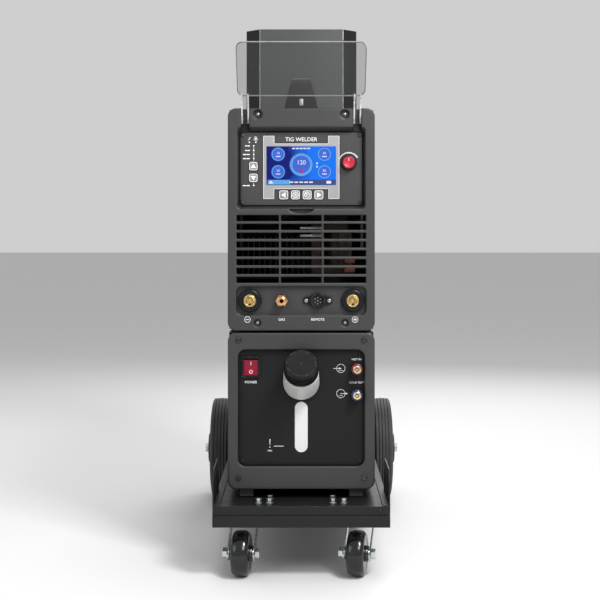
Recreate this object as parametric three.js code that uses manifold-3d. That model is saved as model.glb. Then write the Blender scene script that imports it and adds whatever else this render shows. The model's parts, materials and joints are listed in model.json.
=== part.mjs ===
// A TIG welding machine: an inverter power source standing on a water cooler,
// both on a trolley with two swivel castors, two large wheels and a gas-bottle cradle.
// Millimetres, +X right, +Y back, +Z up. Y is measured from the machine's front face while
// building; at the end the group moves so that the origin is the footprint's centre.
import * as THREE from 'three';
import { mergeVertices } from 'three/addons/utils/BufferGeometryUtils.js';
import Module from 'manifold-3d';

const wasm = await Module();
wasm.setup();

// ---- Driving dimensions ----
const GAP = 0.3;                 // clearance between pieces that touch
const WIDTH = 250;               // inverter and cooler front bezels
const CASE_WIDTH = 248;          // sheet-metal covers, 1 mm inside the bezels
const CORNER = 14;               // bezel corner radius
const SHEET = 1.5;               // cover sheet thickness
const MACHINE_DEPTH = 540;

const WHEEL_R = 107;             // rear wheels
const WHEEL_Y = 602;
const TYRE_INNER = 153;          // |x| of the tyre's inner side
const TYRE_OUTER = 193;
const HUB_END = 200.5;
const AXLE_R = 8;
const AXLE_END = 207.5;

const CASTOR_R = 38;
const CASTOR_WIDTH = 30;
const CASTOR_HUB = 19.5;         // half the hub's length
const CASTOR_X = 98.4;           // swivel axes
const CASTOR_Y = -6.4;
const CASTOR_TRAIL = 24;
const CASTOR_YAW = { left: -5, right: -11 };   // degrees
const CASTOR_AXLE_R = 5;

const TROLLEY_HALF = 147.2;
const TROLLEY_FRONT = -60;
const TROLLEY_REAR = 585;
const STEEL = 2.5;               // trolley plate
const FRAME_BOTTOM = 88;
const FRAME_TOP = 107;
const DECK_TOP = 123;
const PLATFORM_REAR = 850;
const PLATFORM_BOTTOM = 48;
const PLATFORM_HALF = 137;
const CRADLE_TOP = 1012;

const COOLER_BOTTOM = 139;
const COOLER_TOP = 405;
const COOLER_LIP = 8;            // the cooler bezel's front wall, which its panel sits behind
const COOLER_BEZEL_DEPTH = 24;
const INVERTER_BOTTOM = 409;
const INVERTER_TOP = 787;
const INVERTER_WALL = 18;        // front wall of the inverter bezel, which the grille goes through
const INVERTER_BEZEL_DEPTH = 30;
const INVERTER_REAR_DEPTH = 20;

const COVER_HINGE_Y = 6;
const COVER_HINGE_Z = 763;
const COVER_LEAN = 34.6;         // degrees forward of upright, open
const COVER_OFFSET = 9;          // the sheet stands this far off the hinge line

const FILLER_Z = 321.6;          // middle of the round hole that the filler neck comes through
const FILLER_R = 31;
const FILLER_AXIS_Z = 314.3;     // where the tilted axis of neck and cap meets the cooler panel
const FILLER_TILT = 38;          // degrees above level

const RAD = Math.PI / 180;

// ---- Solids: merge, turn outward, join and cut ----
function solidOf(geometry) {
  const bare = geometry.clone();
  for (const name of Object.keys(bare.attributes)) {
    if (name !== 'position') bare.deleteAttribute(name);
  }
  const merged = mergeVertices(bare, 1e-4);
  const position = merged.attributes.position;
  const corner = (i) => new THREE.Vector3().fromBufferAttribute(position, i);
  const triangles = [];
  let volume = 0;
  for (let i = 0; i < merged.index.count; i += 3) {
    const [a, b, c] = [0, 1, 2].map((k) => merged.index.getX(i + k));
    if (a === b || b === c || c === a) continue;
    volume += corner(a).dot(corner(b).cross(corner(c)));
    triangles.push([a, b, c]);
  }
  const outward = volume < 0 ? triangles.map(([a, b, c]) => [a, c, b]) : triangles;
  return new wasm.Manifold(new wasm.Mesh({
    numProp: 3,
    vertProperties: new Float32Array(position.array),
    triVerts: new Uint32Array(outward.flat()),
  }));
}

function geometryOf(solid) {
  const mesh = solid.getMesh();
  const geometry = new THREE.BufferGeometry();
  geometry.setAttribute('position', new THREE.BufferAttribute(mesh.vertProperties, 3));
  geometry.setIndex(new THREE.BufferAttribute(mesh.triVerts, 1));
  return geometry;
}

function join(first, ...rest) {
  return geometryOf(rest.reduce((whole, part) => whole.add(solidOf(part)), solidOf(first)));
}

function cut(body, ...tools) {
  return geometryOf(tools.reduce((rest, tool) => rest.subtract(solidOf(tool)), solidOf(body)));
}

function common(first, second) {
  return geometryOf(solidOf(first).intersect(solidOf(second)));
}

function hull(...parts) {
  return geometryOf(wasm.Manifold.hull(parts.map(solidOf)));
}

// ---- Basic shapes ----
function block([left, right], [front, back], [bottom, top]) {
  return new THREE.BoxGeometry(right - left, back - front, top - bottom)
    .translate((left + right) / 2, (front + back) / 2, (bottom + top) / 2);
}

function outline(points) {
  return new THREE.Shape(points.map(([a, b]) => new THREE.Vector2(a, b)));
}

function roundedRect([left, right], [bottom, top], radius) {
  const shape = new THREE.Shape();
  shape.absarc(right - radius, top - radius, radius, 0, Math.PI / 2);
  shape.absarc(left + radius, top - radius, radius, Math.PI / 2, Math.PI);
  shape.absarc(left + radius, bottom + radius, radius, Math.PI, 1.5 * Math.PI);
  shape.absarc(right - radius, bottom + radius, radius, 1.5 * Math.PI, 2 * Math.PI);
  return shape;
}

function extrude(shape, depth, curveSegments) {
  return new THREE.ExtrudeGeometry(shape, { depth, bevelEnabled: false, curveSegments });
}

// A shape drawn in (x, z), from y = front to y = back.
function alongY(shape, [front, back], curveSegments = 4) {
  return extrude(shape, back - front, curveSegments).rotateX(Math.PI / 2).translate(0, back, 0);
}

// A shape drawn in (y, z), from x = left to x = right.
function alongX(shape, [left, right], curveSegments = 5) {
  return extrude(shape, right - left, curveSegments)
    .rotateX(Math.PI / 2).rotateZ(Math.PI / 2).translate(left, 0, 0);
}

// A shape drawn in (x, y), from z = bottom to z = top.
function alongZ(shape, [bottom, top], curveSegments = 6) {
  return extrude(shape, top - bottom, curveSegments).translate(0, 0, bottom);
}

// A turned body: its profile is a closed list of [radius, distance along +Y].
function turned(profile, sides = 20) {
  const points = [...profile, profile[0]].map(([r, t]) => new THREE.Vector2(r, t));
  return new THREE.LatheGeometry(points, sides);
}

const toX = (geometry) => geometry.rotateZ(-Math.PI / 2);
const toZ = (geometry) => geometry.rotateX(Math.PI / 2);

function rod(radius, [start, end], sides = 16) {
  return new THREE.CylinderGeometry(radius, radius, end - start, sides)
    .translate(0, (start + end) / 2, 0);
}

// Horizontal slots through a wall, [front, back] in y, stacked down from the top.
function slotRows(columns, top, height, pitch, count, span) {
  const slots = [];
  for (let row = 0; row < count; row += 1) {
    const upper = top - row * pitch;
    for (const column of columns) slots.push(block(column, span, [upper - height, upper]));
  }
  return slots;
}

// ---- Materials ----
const finish = (color, roughness, metalness, extra = {}) =>
  new THREE.MeshStandardMaterial({ color, roughness, metalness, ...extra });
const PAINT = finish(0x26262a, 0.5, 0.2);
const TROLLEY_PAINT = finish(0x2c2f33, 0.45, 0.3);
const BEZEL = finish(0x2b2c2e, 0.6, 0);
const PANEL = finish(0x1c1d20, 0.55, 0.1);
const CONTROL = finish(0x57595c, 0.45, 0.3);
const RUBBER = finish(0x2b2725, 0.8, 0);
const BLACK = finish(0x121214, 0.4, 0);
const ZINC = finish(0xaab0b2, 0.3, 0.9);
const BRASS = finish(0xb08d4a, 0.3, 0.9);
const COPPER = finish(0xa5613a, 0.4, 0.8);
const ALUMINIUM = finish(0x8f9396, 0.4, 0.8);
const WHITE = finish(0xe9e9e6, 0.5, 0);
const RED = finish(0xc0202a, 0.35, 0);
const BLUE = finish(0x1f3c7a, 0.4, 0);
const KEY = finish(0xd9dadb, 0.5, 0);
const SCREEN = finish(0x15245c, 0.2, 0);
const CLEAR = finish(0xdfe4e6, 0.08, 0, { transparent: true, opacity: 0.25 });

const machine = new THREE.Group();

function piece(name, material, geometry, parent = machine) {
  const mesh = new THREE.Mesh(geometryOf(solidOf(geometry)), material);
  mesh.name = name;
  parent.add(mesh);
  return mesh;
}

const SIDES = [['left', -1], ['right', 1]];
// An interval on one side of the machine: measured outward, so it is mirrored on the left.
const onSide = (side, inner, outer) => (side > 0 ? [inner, outer] : [-outer, -inner]);

// ---- Trolley ----
function tray(front, rear, bottom, top) {
  const half = TROLLEY_HALF;
  const outer = block([-half, half], [front, rear], [bottom, top]);
  const inner = block([STEEL - half, half - STEEL], [front + STEEL, rear - STEEL],
    [bottom - 1, top - STEEL]);
  return cut(outer, inner);
}

function baseFrame() {
  return tray(TROLLEY_FRONT - 2, TROLLEY_REAR, FRAME_BOTTOM, FRAME_TOP);
}

// The deck with its two welded side cheeks at the front corners.
function deckPan() {
  const cheekLength = 130;
  const cheekTop = 182;
  const chamfer = 16;
  const footWidth = 10;
  const footRear = 230;
  const cheek = outline([
    [TROLLEY_FRONT, FRAME_TOP + GAP], [TROLLEY_FRONT, cheekTop - chamfer],
    [TROLLEY_FRONT + chamfer, cheekTop], [TROLLEY_FRONT + cheekLength - chamfer, cheekTop],
    [TROLLEY_FRONT + cheekLength, DECK_TOP + chamfer], [TROLLEY_FRONT + cheekLength, FRAME_TOP + GAP],
  ]);
  const extras = SIDES.flatMap(([, side]) => [
    alongX(cheek, onSide(side, TROLLEY_HALF - STEEL, TROLLEY_HALF)),
    block(onSide(side, TROLLEY_HALF - STEEL - footWidth, TROLLEY_HALF - STEEL / 2),
      [TROLLEY_FRONT, footRear], [DECK_TOP - 1, DECK_TOP + 1.5]),
  ]);
  return join(tray(TROLLEY_FRONT, TROLLEY_REAR, FRAME_TOP + GAP, DECK_TOP), ...extras);
}

// The low pan behind the axle that the gas bottle stands on, and the cheeks that carry the axle.
function bottlePlatform() {
  const front = TROLLEY_REAR + GAP;
  const plate = 3;
  const floorFront = 618;
  const lip = 75;
  const cheek = outline([
    [front, FRAME_BOTTOM], [front, 122], [640, 122], [700, lip], [PLATFORM_REAR, lip],
    [PLATFORM_REAR, PLATFORM_BOTTOM], [floorFront - 8, PLATFORM_BOTTOM],
  ]);
  const half = PLATFORM_HALF;
  const floor = block([-half, half], [floorFront, PLATFORM_REAR],
    [PLATFORM_BOTTOM, PLATFORM_BOTTOM + plate]);
  const rearLip = block([-half, half], [PLATFORM_REAR - plate, PLATFORM_REAR],
    [PLATFORM_BOTTOM, lip]);
  const frontFlange = block([-half, half], [front, front + plate], [FRAME_BOTTOM, FRAME_TOP - 3]);
  const cheeks = SIDES.map(([, side]) => alongX(cheek, onSide(side, half - plate, half)));
  const axleHole = toX(rod(AXLE_R + GAP, [-half - 5, half + 5])).translate(0, WHEEL_Y, WHEEL_R);
  return cut(join(floor, rearLip, frontFlange, ...cheeks), axleHole);
}

// An upright of folded plate: a flat front, wings folded back around the bottle, a bolted foot.
function bottleCradle() {
  const front = 573;
  const half = 89.5;
  const wingHalf = 119.5;
  const wingBack = 30;
  const plate = 2;
  const plan = outline([
    [-wingHalf, front + wingBack], [-half, front], [half, front], [wingHalf, front + wingBack],
    [wingHalf, front + wingBack + plate * 1.5], [half - 1, front + plate],
    [1 - half, front + plate], [-wingHalf, front + wingBack + plate * 1.5],
  ]);
  const upright = alongZ(plan, [DECK_TOP + GAP, CRADLE_TOP]);
  const foot = block([-half, half], [front - 20, front + 1], [DECK_TOP + GAP, DECK_TOP + GAP + plate]);
  const strapSlots = [600, 770].flatMap((bottom) => SIDES.map(([, side]) =>
    block(onSide(side, 101, 108), [front, front + wingBack + 5], [bottom, bottom + 36])));
  return cut(join(upright, foot), ...strapSlots);
}

function rearAxle() {
  const nutRadius = 9.2;
  const nuts = SIDES.map(([, side]) =>
    toX(rod(nutRadius, onSide(side, HUB_END + GAP, AXLE_END), 6)));
  return join(toX(rod(AXLE_R, [1 - AXLE_END, AXLE_END - 1])), ...nuts)
    .translate(0, WHEEL_Y, WHEEL_R);
}

function rearTyre(side) {
  const rimR = 62;
  const middle = (TYRE_INNER + TYRE_OUTER) / 2;
  const half = (TYRE_OUTER - TYRE_INNER) / 2;
  const profile = [
    [rimR, -half + 4], [WHEEL_R - 18, -half], [WHEEL_R - 8, -half + 1.5],
    [WHEEL_R - 2, -half + 7], [WHEEL_R, -half + 13], [WHEEL_R, half - 13],
    [WHEEL_R - 2, half - 7], [WHEEL_R - 8, half - 1.5], [WHEEL_R - 18, half], [rimR, half - 4],
  ];
  return toX(turned(profile, 32)).translate(side * middle, WHEEL_Y, WHEEL_R);
}

function rearRim(side) {
  const rimR = 62 - GAP;
  const bore = AXLE_R + GAP;
  const profile = [
    [bore, 148], [20, 148], [20, 168], [52, 170], [55, 155], [rimR, 155], [rimR, 191],
    [55, 191], [52, 176], [26, 178], [26, 197], [31, 197], [31, HUB_END], [bore, HUB_END],
  ].map(([r, t]) => [r, side * t]);
  return toX(turned(profile, 20)).translate(0, WHEEL_Y, WHEEL_R);
}

// Everything on a castor is built about its swivel axis, with the wheel towards -Y.
function castorPlate(side) {
  const kingpinR = 6;
  const plate = block(side > 0 ? [-53, 36] : [-36, 53], [-42, 42], [101, FRAME_TOP - STEEL - GAP]);
  const race = toZ(rod(26, [96, 101.5], 20));
  return cut(join(plate, race), toZ(rod(kingpinR + GAP, [90, 103], 16)));
}

function castorFork() {
  const legInner = 21;
  const legOuter = 23.5;
  const crown = [85, 88];
  const front = -CASTOR_TRAIL - 12;
  const rear = 24;
  const leg = new THREE.Shape();
  leg.moveTo(front, crown[1]);
  leg.absarc(-CASTOR_TRAIL, CASTOR_R, 12, Math.PI, 2 * Math.PI - 0.5);
  leg.lineTo(rear, 78);
  leg.lineTo(rear, crown[1]);
  const legs = SIDES.map(([, side]) => alongX(leg, onSide(side, legInner, legOuter)));
  const bridge = block([-legOuter, legOuter], [front, rear], crown);
  const race = toZ(rod(22, [87, 95.7], 20));
  const kingpin = toZ(rod(6, [95, 102.5], 16));
  const hole = toX(rod(CASTOR_AXLE_R + GAP, [-30, 30], 16)).translate(0, -CASTOR_TRAIL, CASTOR_R);
  return cut(join(bridge, race, kingpin, ...legs), hole);
}

function castorWheel() {
  const half = CASTOR_WIDTH / 2;
  const bore = CASTOR_AXLE_R + GAP;
  const profile = [
    [bore, -CASTOR_HUB], [13, -CASTOR_HUB], [13, -half + 1], [28, -half], [34, -half + 2],
    [37, -half + 6], [CASTOR_R, -half + 10], [CASTOR_R, half - 10], [37, half - 6],
    [34, half - 2], [28, half], [13, half - 1], [13, CASTOR_HUB], [bore, CASTOR_HUB],
  ];
  return toX(turned(profile, 20)).translate(0, -CASTOR_TRAIL, CASTOR_R);
}

function castorAxle() {
  const heads = SIDES.map(([, side]) => toX(rod(9, onSide(side, 23.5 + GAP, 31), 6)));
  return join(toX(rod(CASTOR_AXLE_R, [-30, 30], 16)), ...heads)
    .translate(0, -CASTOR_TRAIL, CASTOR_R);
}

function trolley() {
  piece('base_frame', TROLLEY_PAINT, baseFrame());
  piece('deck_pan', TROLLEY_PAINT, deckPan());
  piece('bottle_platform', TROLLEY_PAINT, bottlePlatform());
  piece('bottle_cradle', TROLLEY_PAINT, bottleCradle());
  piece('rear_axle', ZINC, rearAxle());
  for (const [name, side] of SIDES) {
    piece(`rear_tyre_${name}`, RUBBER, rearTyre(side));
    piece(`rear_rim_${name}`, BLACK, rearRim(side));
    const fixed = new THREE.Group();
    fixed.position.set(side * CASTOR_X, CASTOR_Y, 0);
    machine.add(fixed);
    piece(`castor_plate_${name}`, ZINC, castorPlate(side), fixed);
    const swivel = new THREE.Group();
    swivel.rotation.z = CASTOR_YAW[name] * RAD;
    fixed.add(swivel);
    piece(`castor_fork_${name}`, ZINC, castorFork(), swivel);
    piece(`castor_wheel_${name}`, BLACK, castorWheel(), swivel);
    piece(`castor_axle_${name}`, ZINC, castorAxle(), swivel);
  }
}

// ---- Water cooler ----
const COOLER_PANEL = [COOLER_LIP + GAP, COOLER_LIP + GAP + 2];
const SWITCH = { x: -86, z: 346, width: 31, height: 36.5 };
const SWITCH_WALL = 3.3;         // from the flange's edge to the rocker's opening
const WINDOW = { z: [200.5, 286.5], half: 11 };
const COUPLINGS = [['hot', 343.7, RED], ['cold', 299.7, BLUE]];
const COUPLING_X = 94.4;
const COOLER_FAN_Z = 275;
const COOLER_FAN_R = 80;

function coolerBezel() {
  const half = WIDTH / 2;
  const wall = 3.5;
  const body = alongY(roundedRect([-half, half], [COOLER_BOTTOM, COOLER_TOP], CORNER),
    [0, COOLER_BEZEL_DEPTH]);
  const mouth = alongY(roundedRect([-107.7, 107.7], [177.8, 376.5], 13), [-1, COOLER_LIP + 1]);
  const pocket = alongY(roundedRect([wall - half, half - wall],
    [COOLER_BOTTOM + wall, COOLER_TOP - wall], CORNER - wall), [COOLER_LIP, COOLER_BEZEL_DEPTH + 1]);
  return cut(body, mouth, pocket);
}

// Places a body built along +Y from the panel on the filler's tilted axis, towards the front.
const onFiller = (geometry) =>
  geometry.rotateX((180 - FILLER_TILT) * RAD).translate(0, COOLER_LIP, FILLER_AXIS_Z);

function coolerPanel() {
  const plate = alongY(roundedRect([-116, 116], [150, 395], 6), COOLER_PANEL);
  const through = [0, 20];
  const window = alongY(roundedRect([-WINDOW.half - GAP, WINDOW.half + GAP],
    [WINDOW.z[0] - GAP, WINDOW.z[1] + GAP], WINDOW.half + GAP), through, 8);
  const bodyHalf = [SWITCH.width / 2 - 2, SWITCH.height / 2 - 2];
  const switchHole = block([SWITCH.x - bodyHalf[0], SWITCH.x + bodyHalf[0]], through,
    [SWITCH.z - bodyHalf[1], SWITCH.z + bodyHalf[1]]);
  const ports = COUPLINGS.map(([, z]) => rod(6 + GAP, through).translate(COUPLING_X, 0, z));
  const fillerHole = rod(FILLER_R + GAP, through, 32).translate(0, 0, FILLER_Z);
  return cut(plate, fillerHole, window, switchHole, ...ports);
}

function coverSheet(front, rear, bottom, top, vents) {
  const half = CASE_WIDTH / 2;
  const shell = cut(block([-half, half], [front, rear], [bottom, top]),
    block([SHEET - half, half - SHEET], [front - 1, rear + 1], [bottom - 1, top - SHEET]));
  return cut(shell, ...vents);
}

// Upright ventilation slots through both sides of a cover.
function sideVents(first, pitch, count, [bottom, top]) {
  const slotWidth = 5;
  const slots = [];
  for (let i = 0; i < count; i += 1) {
    const y = first + i * pitch;
    slots.push(block([-140, 140], [y, y + slotWidth], [bottom, top]));
  }
  return slots;
}

function coolerCase() {
  return coverSheet(COOLER_BEZEL_DEPTH + GAP, MACHINE_DEPTH - 3 - GAP, COOLER_BOTTOM + 3,
    COOLER_TOP - 0.5, sideVents(380, 14, 8, [200, 330]));
}

// Floor and rear wall, folded from one sheet, with the fan's grille and its spindle.
function coolerChassis() {
  const half = CASE_WIDTH / 2;
  const rear = [MACHINE_DEPTH - 3, MACHINE_DEPTH];
  const floor = block([-half, half], [COOLER_BEZEL_DEPTH + GAP, MACHINE_DEPTH],
    [COOLER_BOTTOM + 0.5, COOLER_BOTTOM + 2.7]);
  const wall = block([-half, half], rear, [COOLER_BOTTOM + 0.5, COOLER_TOP - 0.5]);
  const spindle = rod(4, [505, rear[0] + 1], 16).translate(0, 0, COOLER_FAN_Z);
  const motor = rod(24, [522, rear[0] + 1]).translate(0, 0, COOLER_FAN_Z);
  const slots = slotRows([[-75, -28], [28, 75]], COOLER_FAN_Z + 66, 8, 15.5, 9, [530, 545]);
  return join(cut(join(floor, wall), ...slots), motor, spindle);
}

function coolantTank() {
  const wall = 3;
  const half = 62;
  const front = COOLER_PANEL[1] + 2;
  const back = 150;
  const low = 160;
  const top = 372;
  const body = block([-half, half], [front, back], [low, top]);
  const sight = alongY(roundedRect([-WINDOW.half, WINDOW.half], WINDOW.z, WINDOW.half),
    [COOLER_PANEL[0] + 0.8, front + 1], 8);
  const bend = 4;
  const elbow = (radius, mouthRadius, back) => join(
    rod(radius, [bend - 1, back], 32).translate(0, 0, FILLER_Z),
    hull(rod(radius, [bend - 1, bend], 32).translate(0, 0, FILLER_Z),
      onFiller(rod(mouthRadius, [36, 42], 32))),
  );
  const neck = onFiller(rod(25.5, [41, 50], 24));
  const inside = block([wall - half, half - wall], [front + wall, back - wall],
    [low + wall, top - wall]);
  const throat = onFiller(rod(22, [41, 60], 32));
  const shell = join(body, sight, elbow(FILLER_R, 29.5, front + 1), neck);
  return cut(shell, inside, elbow(FILLER_R - 3, 22, front + wall + 1), throat);
}

const capSeal = () => onFiller(turned([[0, 50.3], [25, 50.3], [25, 52.5], [0, 52.5]]));

function tankCap() {
  return onFiller(turned([[0, 52.8], [25.9, 52.8], [25.9, 44], [29, 44], [29, 64], [27.5, 69],
    [25, 72], [0, 72]], 24));
}

function switchHousing() {
  const half = [SWITCH.width / 2, SWITCH.height / 2];
  const across = (inset) => [SWITCH.x - half[0] + inset, SWITCH.x + half[0] - inset];
  const upright = (inset) => [SWITCH.z - half[1] + inset, SWITCH.z + half[1] - inset];
  const flange = alongY(roundedRect(across(0), upright(0), 3), [5.4, COOLER_LIP]);
  const body = block(across(2 + GAP), [COOLER_LIP - 1, 34], upright(2 + GAP));
  return cut(join(flange, body), block(across(SWITCH_WALL), [0, 24], upright(SWITCH_WALL)));
}

function switchRocker() {
  const half = SWITCH.width / 2 - SWITCH_WALL - GAP;
  const profile = outline([[-8.4, 13.6], [-5, 0], [-8.4, -13.6], [2, -10.8], [4, 0], [2, 10.8]]);
  const pressed = 6 * RAD;
  return alongX(profile, [-half, half]).rotateX(pressed).translate(SWITCH.x, 13, SWITCH.z);
}

function couplingBody(z) {
  const hex = rod(9, [4, COOLER_LIP], 6);
  const stem = rod(6, [-13, 30]);
  const shoulder = rod(7.6, [-13, -10]);
  return cut(join(hex, stem, shoulder), rod(3.6, [-20, 24], 16)).translate(COUPLING_X, 0, z);
}

function couplingCollar(z) {
  const inner = 6 + GAP;
  return turned([[inner, -9.6], [8.6, -9.6], [9.6, -8], [9.6, 0], [inner, 0]])
    .translate(COUPLING_X, 0, z);
}

function coolantPump() {
  const motor = rod(34, [230, 350]);
  const head = rod(40, [205, 231]);
  const outlet = toZ(rod(9, [0, 60])).translate(0, 217, 0);
  return join(motor, head, outlet, block([-30, 30], [240, 330], [-45, -30])).translate(0, 0, 188);
}

function radiator() {
  const half = 100;
  const core = block([-half, half], [440, 470], [175, 375]);
  const tanks = SIDES.map(([, side]) => block(onSide(side, half - 1, half + 14), [435, 475], [170, 380]));
  return join(core, ...tanks);
}

// A fan rotor about the y axis: a hub with pitched blades and a bore for its spindle.
function fanRotor(radius, hubR, blades, [front, back]) {
  const width = back - front - 2;
  const middle = (front + back) / 2;
  const vanes = [];
  for (let i = 0; i < blades; i += 1) {
    vanes.push(new THREE.BoxGeometry(width, 2, radius - hubR + 3)
      .rotateZ(50 * RAD).translate(0, middle, (radius + hubR - 3) / 2)
      .rotateY((360 / blades) * i * RAD));
  }
  const hub = rod(hubR, [front, back]);
  return cut(join(hub, ...vanes), rod(4.4, [front + 4, back + 5], 16));
}

function cooler() {
  piece('cooler_bezel', BEZEL, coolerBezel());
  piece('cooler_panel', PANEL, coolerPanel());
  piece('cooler_case', PAINT, coolerCase());
  piece('cooler_chassis', PAINT, coolerChassis());
  for (const [name, side] of SIDES) {
    piece(`cooler_foot_${name}`, RUBBER,
      block(onSide(side, 82, 106), [16, 510], [DECK_TOP + GAP, COOLER_BOTTOM - GAP]));
  }
  piece('coolant_tank', WHITE, coolantTank());
  piece('cap_seal', RUBBER, capSeal());
  piece('tank_cap', BLACK, tankCap());
  piece('switch_housing', BLACK, switchHousing());
  piece('switch_rocker', RED, switchRocker());
  for (const [name, z, color] of COUPLINGS) {
    piece(`${name}_coupling`, BRASS, couplingBody(z));
    piece(`${name}_collar`, color, couplingCollar(z));
  }
  piece('coolant_pump', CONTROL, coolantPump());
  piece('radiator', ALUMINIUM, radiator());
  piece('cooler_fan', BLACK,
    fanRotor(COOLER_FAN_R, 25, 7, [500, 520]).translate(0, 0, COOLER_FAN_Z));
}

// ---- Inverter ----
const RECESS = { half: 109.5, z: [615, 756], depth: 14.8 };
const PLATE = { half: 104.2, z: [622.3, 746.7], y: [12, 14.5] };
const SCREEN_HALF = 62;
const SCREEN_Z = [655, 725];
const SOCKET_Z = 459.6;
const SOCKETS = [['minus', -87.8], ['plus', 87.8]];
const SOCKET_FLOOR = 6;
const GAS_X = -33.5;
const CONTROL_X = 28;
const KEYS = [
  ['key_back', -30, 640, 15.6], ['key_menu', -10, 640, 15.6], ['key_mode', 10, 640, 15.6],
  ['key_forward', 30, 640, 15.6], ['key_up', -81.9, 689.1, 14.7], ['key_down', -81.9, 669.1, 14.7],
];
const KNOB = { x: 80.8, z: 694.9 };
const INVERTER_FAN_Z = 600;
const INVERTER_FAN_R = 56;
const MAIN_SWITCH = { x: -80, z: 735 };
const ARM = [89, 102];           // |x| of the cover's arms

// A pocket whose walls slope in from its mouth to its floor.
function slopedPocket({ half, z, depth }, floorHalf, floorZ) {
  const mouth = -1;
  const pocket = alongY(roundedRect([-half, half], z, 6), [mouth, depth]);
  const middle = (z[0] + z[1]) / 2;
  const floorMiddle = (floorZ[0] + floorZ[1]) / 2;
  const rise = (floorZ[1] - floorZ[0]) / (z[1] - z[0]);
  const position = pocket.attributes.position;
  for (let i = 0; i < position.count; i += 1) {
    if (position.getY(i) > mouth + 1) {
      position.setX(i, position.getX(i) * (floorHalf / half));
      position.setZ(i, floorMiddle + (position.getZ(i) - middle) * rise);
    }
  }
  return pocket;
}

function inverterBezel() {
  const half = WIDTH / 2;
  const wall = 3.5;
  const body = alongY(roundedRect([-half, half], [INVERTER_BOTTOM, INVERTER_TOP], CORNER),
    [0, INVERTER_BEZEL_DEPTH]);
  const pocket = alongY(roundedRect([wall - half, half - wall],
    [INVERTER_BOTTOM + wall, INVERTER_TOP - wall], CORNER - wall),
  [INVERTER_WALL, INVERTER_BEZEL_DEPTH + 1]);
  const recess = slopedPocket(RECESS, 104.8, [621.7, 747.3]);
  const plateWindow = block([-98, 98], [10, 20], [629, 740]);
  const notch = new THREE.Shape();
  notch.absellipse(0, RECESS.z[0] + 1, 21, 8, Math.PI, 2 * Math.PI);
  const fingerNotch = alongY(notch, [-1, 7], 6);
  const grille = slotRows([[-110.2, -38.1], [-34.7, 34.7], [38.1, 110.2]], 605.5, 10.6, 15, 8,
    [-1, INVERTER_WALL + 1]);
  const connectors = alongY(roundedRect([-110.6, 110.6], [434.7, 484.1], 10), [-1, SOCKET_FLOOR]);
  const through = [-1, INVERTER_WALL + 1];
  const ports = [
    ...SOCKETS.map(([, x]) => rod(14.8, through, 24).translate(x, 0, SOCKET_Z)),
    rod(7.3, through).translate(GAS_X, 0, SOCKET_Z),
    rod(9.3, through).translate(CONTROL_X, 0, SOCKET_Z),
  ];
  const channels = SIDES.flatMap(([, side]) => [
    block(onSide(side, ARM[0] - 0.5, ARM[1] + 0.5), [-1, 16], [750, INVERTER_TOP + 1]),
    toX(rod(2 + GAP, onSide(side, ARM[1], ARM[1] + 4 + GAP), 16))
      .translate(0, COVER_HINGE_Y, COVER_HINGE_Z),
  ]);
  const screws = SIDES.flatMap(([, side]) => [
    rod(8, [-1, 6]).translate(side * 74, 0, 777),
    rod(6.5, [-1, 5]).translate(side * 74.5, 0, 422),
  ]);
  return cut(body, pocket, recess, plateWindow, fingerNotch, connectors, ...grille, ...ports,
    ...channels, ...screws);
}

function controlPanel() {
  const plate = alongY(roundedRect([-PLATE.half, PLATE.half], PLATE.z, 4), PLATE.y);
  const through = [5, 20];
  const screen = block([-SCREEN_HALF - GAP, SCREEN_HALF + GAP], through,
    [SCREEN_Z[0] - GAP, SCREEN_Z[1] + GAP]);
  const keyHoles = KEYS.map(([, x, z, size]) => {
    const reach = size / 2 + GAP;
    return alongY(roundedRect([x - reach, x + reach], [z - reach, z + reach], 3.8), through, 3);
  });
  const shaft = rod(3.4, through, 16).translate(KNOB.x, 0, KNOB.z);
  return cut(plate, screen, ...keyHoles, shaft);
}

// The screen module: a notched frame on the panel's face, with the module behind it.
function display() {
  const notchHalf = 45.5;
  const frame = outline([
    [-65.4, 632.7], [-notchHalf - 1, 632.7], [-notchHalf - 1, 649.7], [notchHalf + 1, 649.7],
    [notchHalf + 1, 632.7], [65.4, 632.7], [65.4, 741.2], [notchHalf, 741.2],
    [notchHalf, 728], [-notchHalf, 728], [-notchHalf, 741.2], [-65.4, 741.2],
  ]);
  const module = block([-SCREEN_HALF, SCREEN_HALF], [PLATE.y[0] - 0.5, 23], SCREEN_Z);
  return join(alongY(frame, [PLATE.y[0] - GAP - 1, PLATE.y[0] - GAP]), module);
}

function inverterCase() {
  return coverSheet(INVERTER_BEZEL_DEPTH + GAP, MACHINE_DEPTH - INVERTER_REAR_DEPTH - GAP,
    INVERTER_BOTTOM + 3, INVERTER_TOP - 0.5,
    [...sideVents(370, 14, 8, [540, 700]), ...sideVents(80, 14, 6, [480, 580])]);
}

function inverterBase() {
  const half = CASE_WIDTH / 2;
  const span = [INVERTER_BEZEL_DEPTH + GAP, MACHINE_DEPTH - INVERTER_REAR_DEPTH - GAP];
  const floor = block([-half, half], span, [INVERTER_BOTTOM + 0.5, INVERTER_BOTTOM + 2.7]);
  const flanges = SIDES.map(([, side]) =>
    block(onSide(side, half - SHEET - GAP - 1.5, half - SHEET - GAP), span,
      [INVERTER_BOTTOM + 1, INVERTER_BOTTOM + 18]));
  return join(floor, ...flanges);
}

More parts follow.
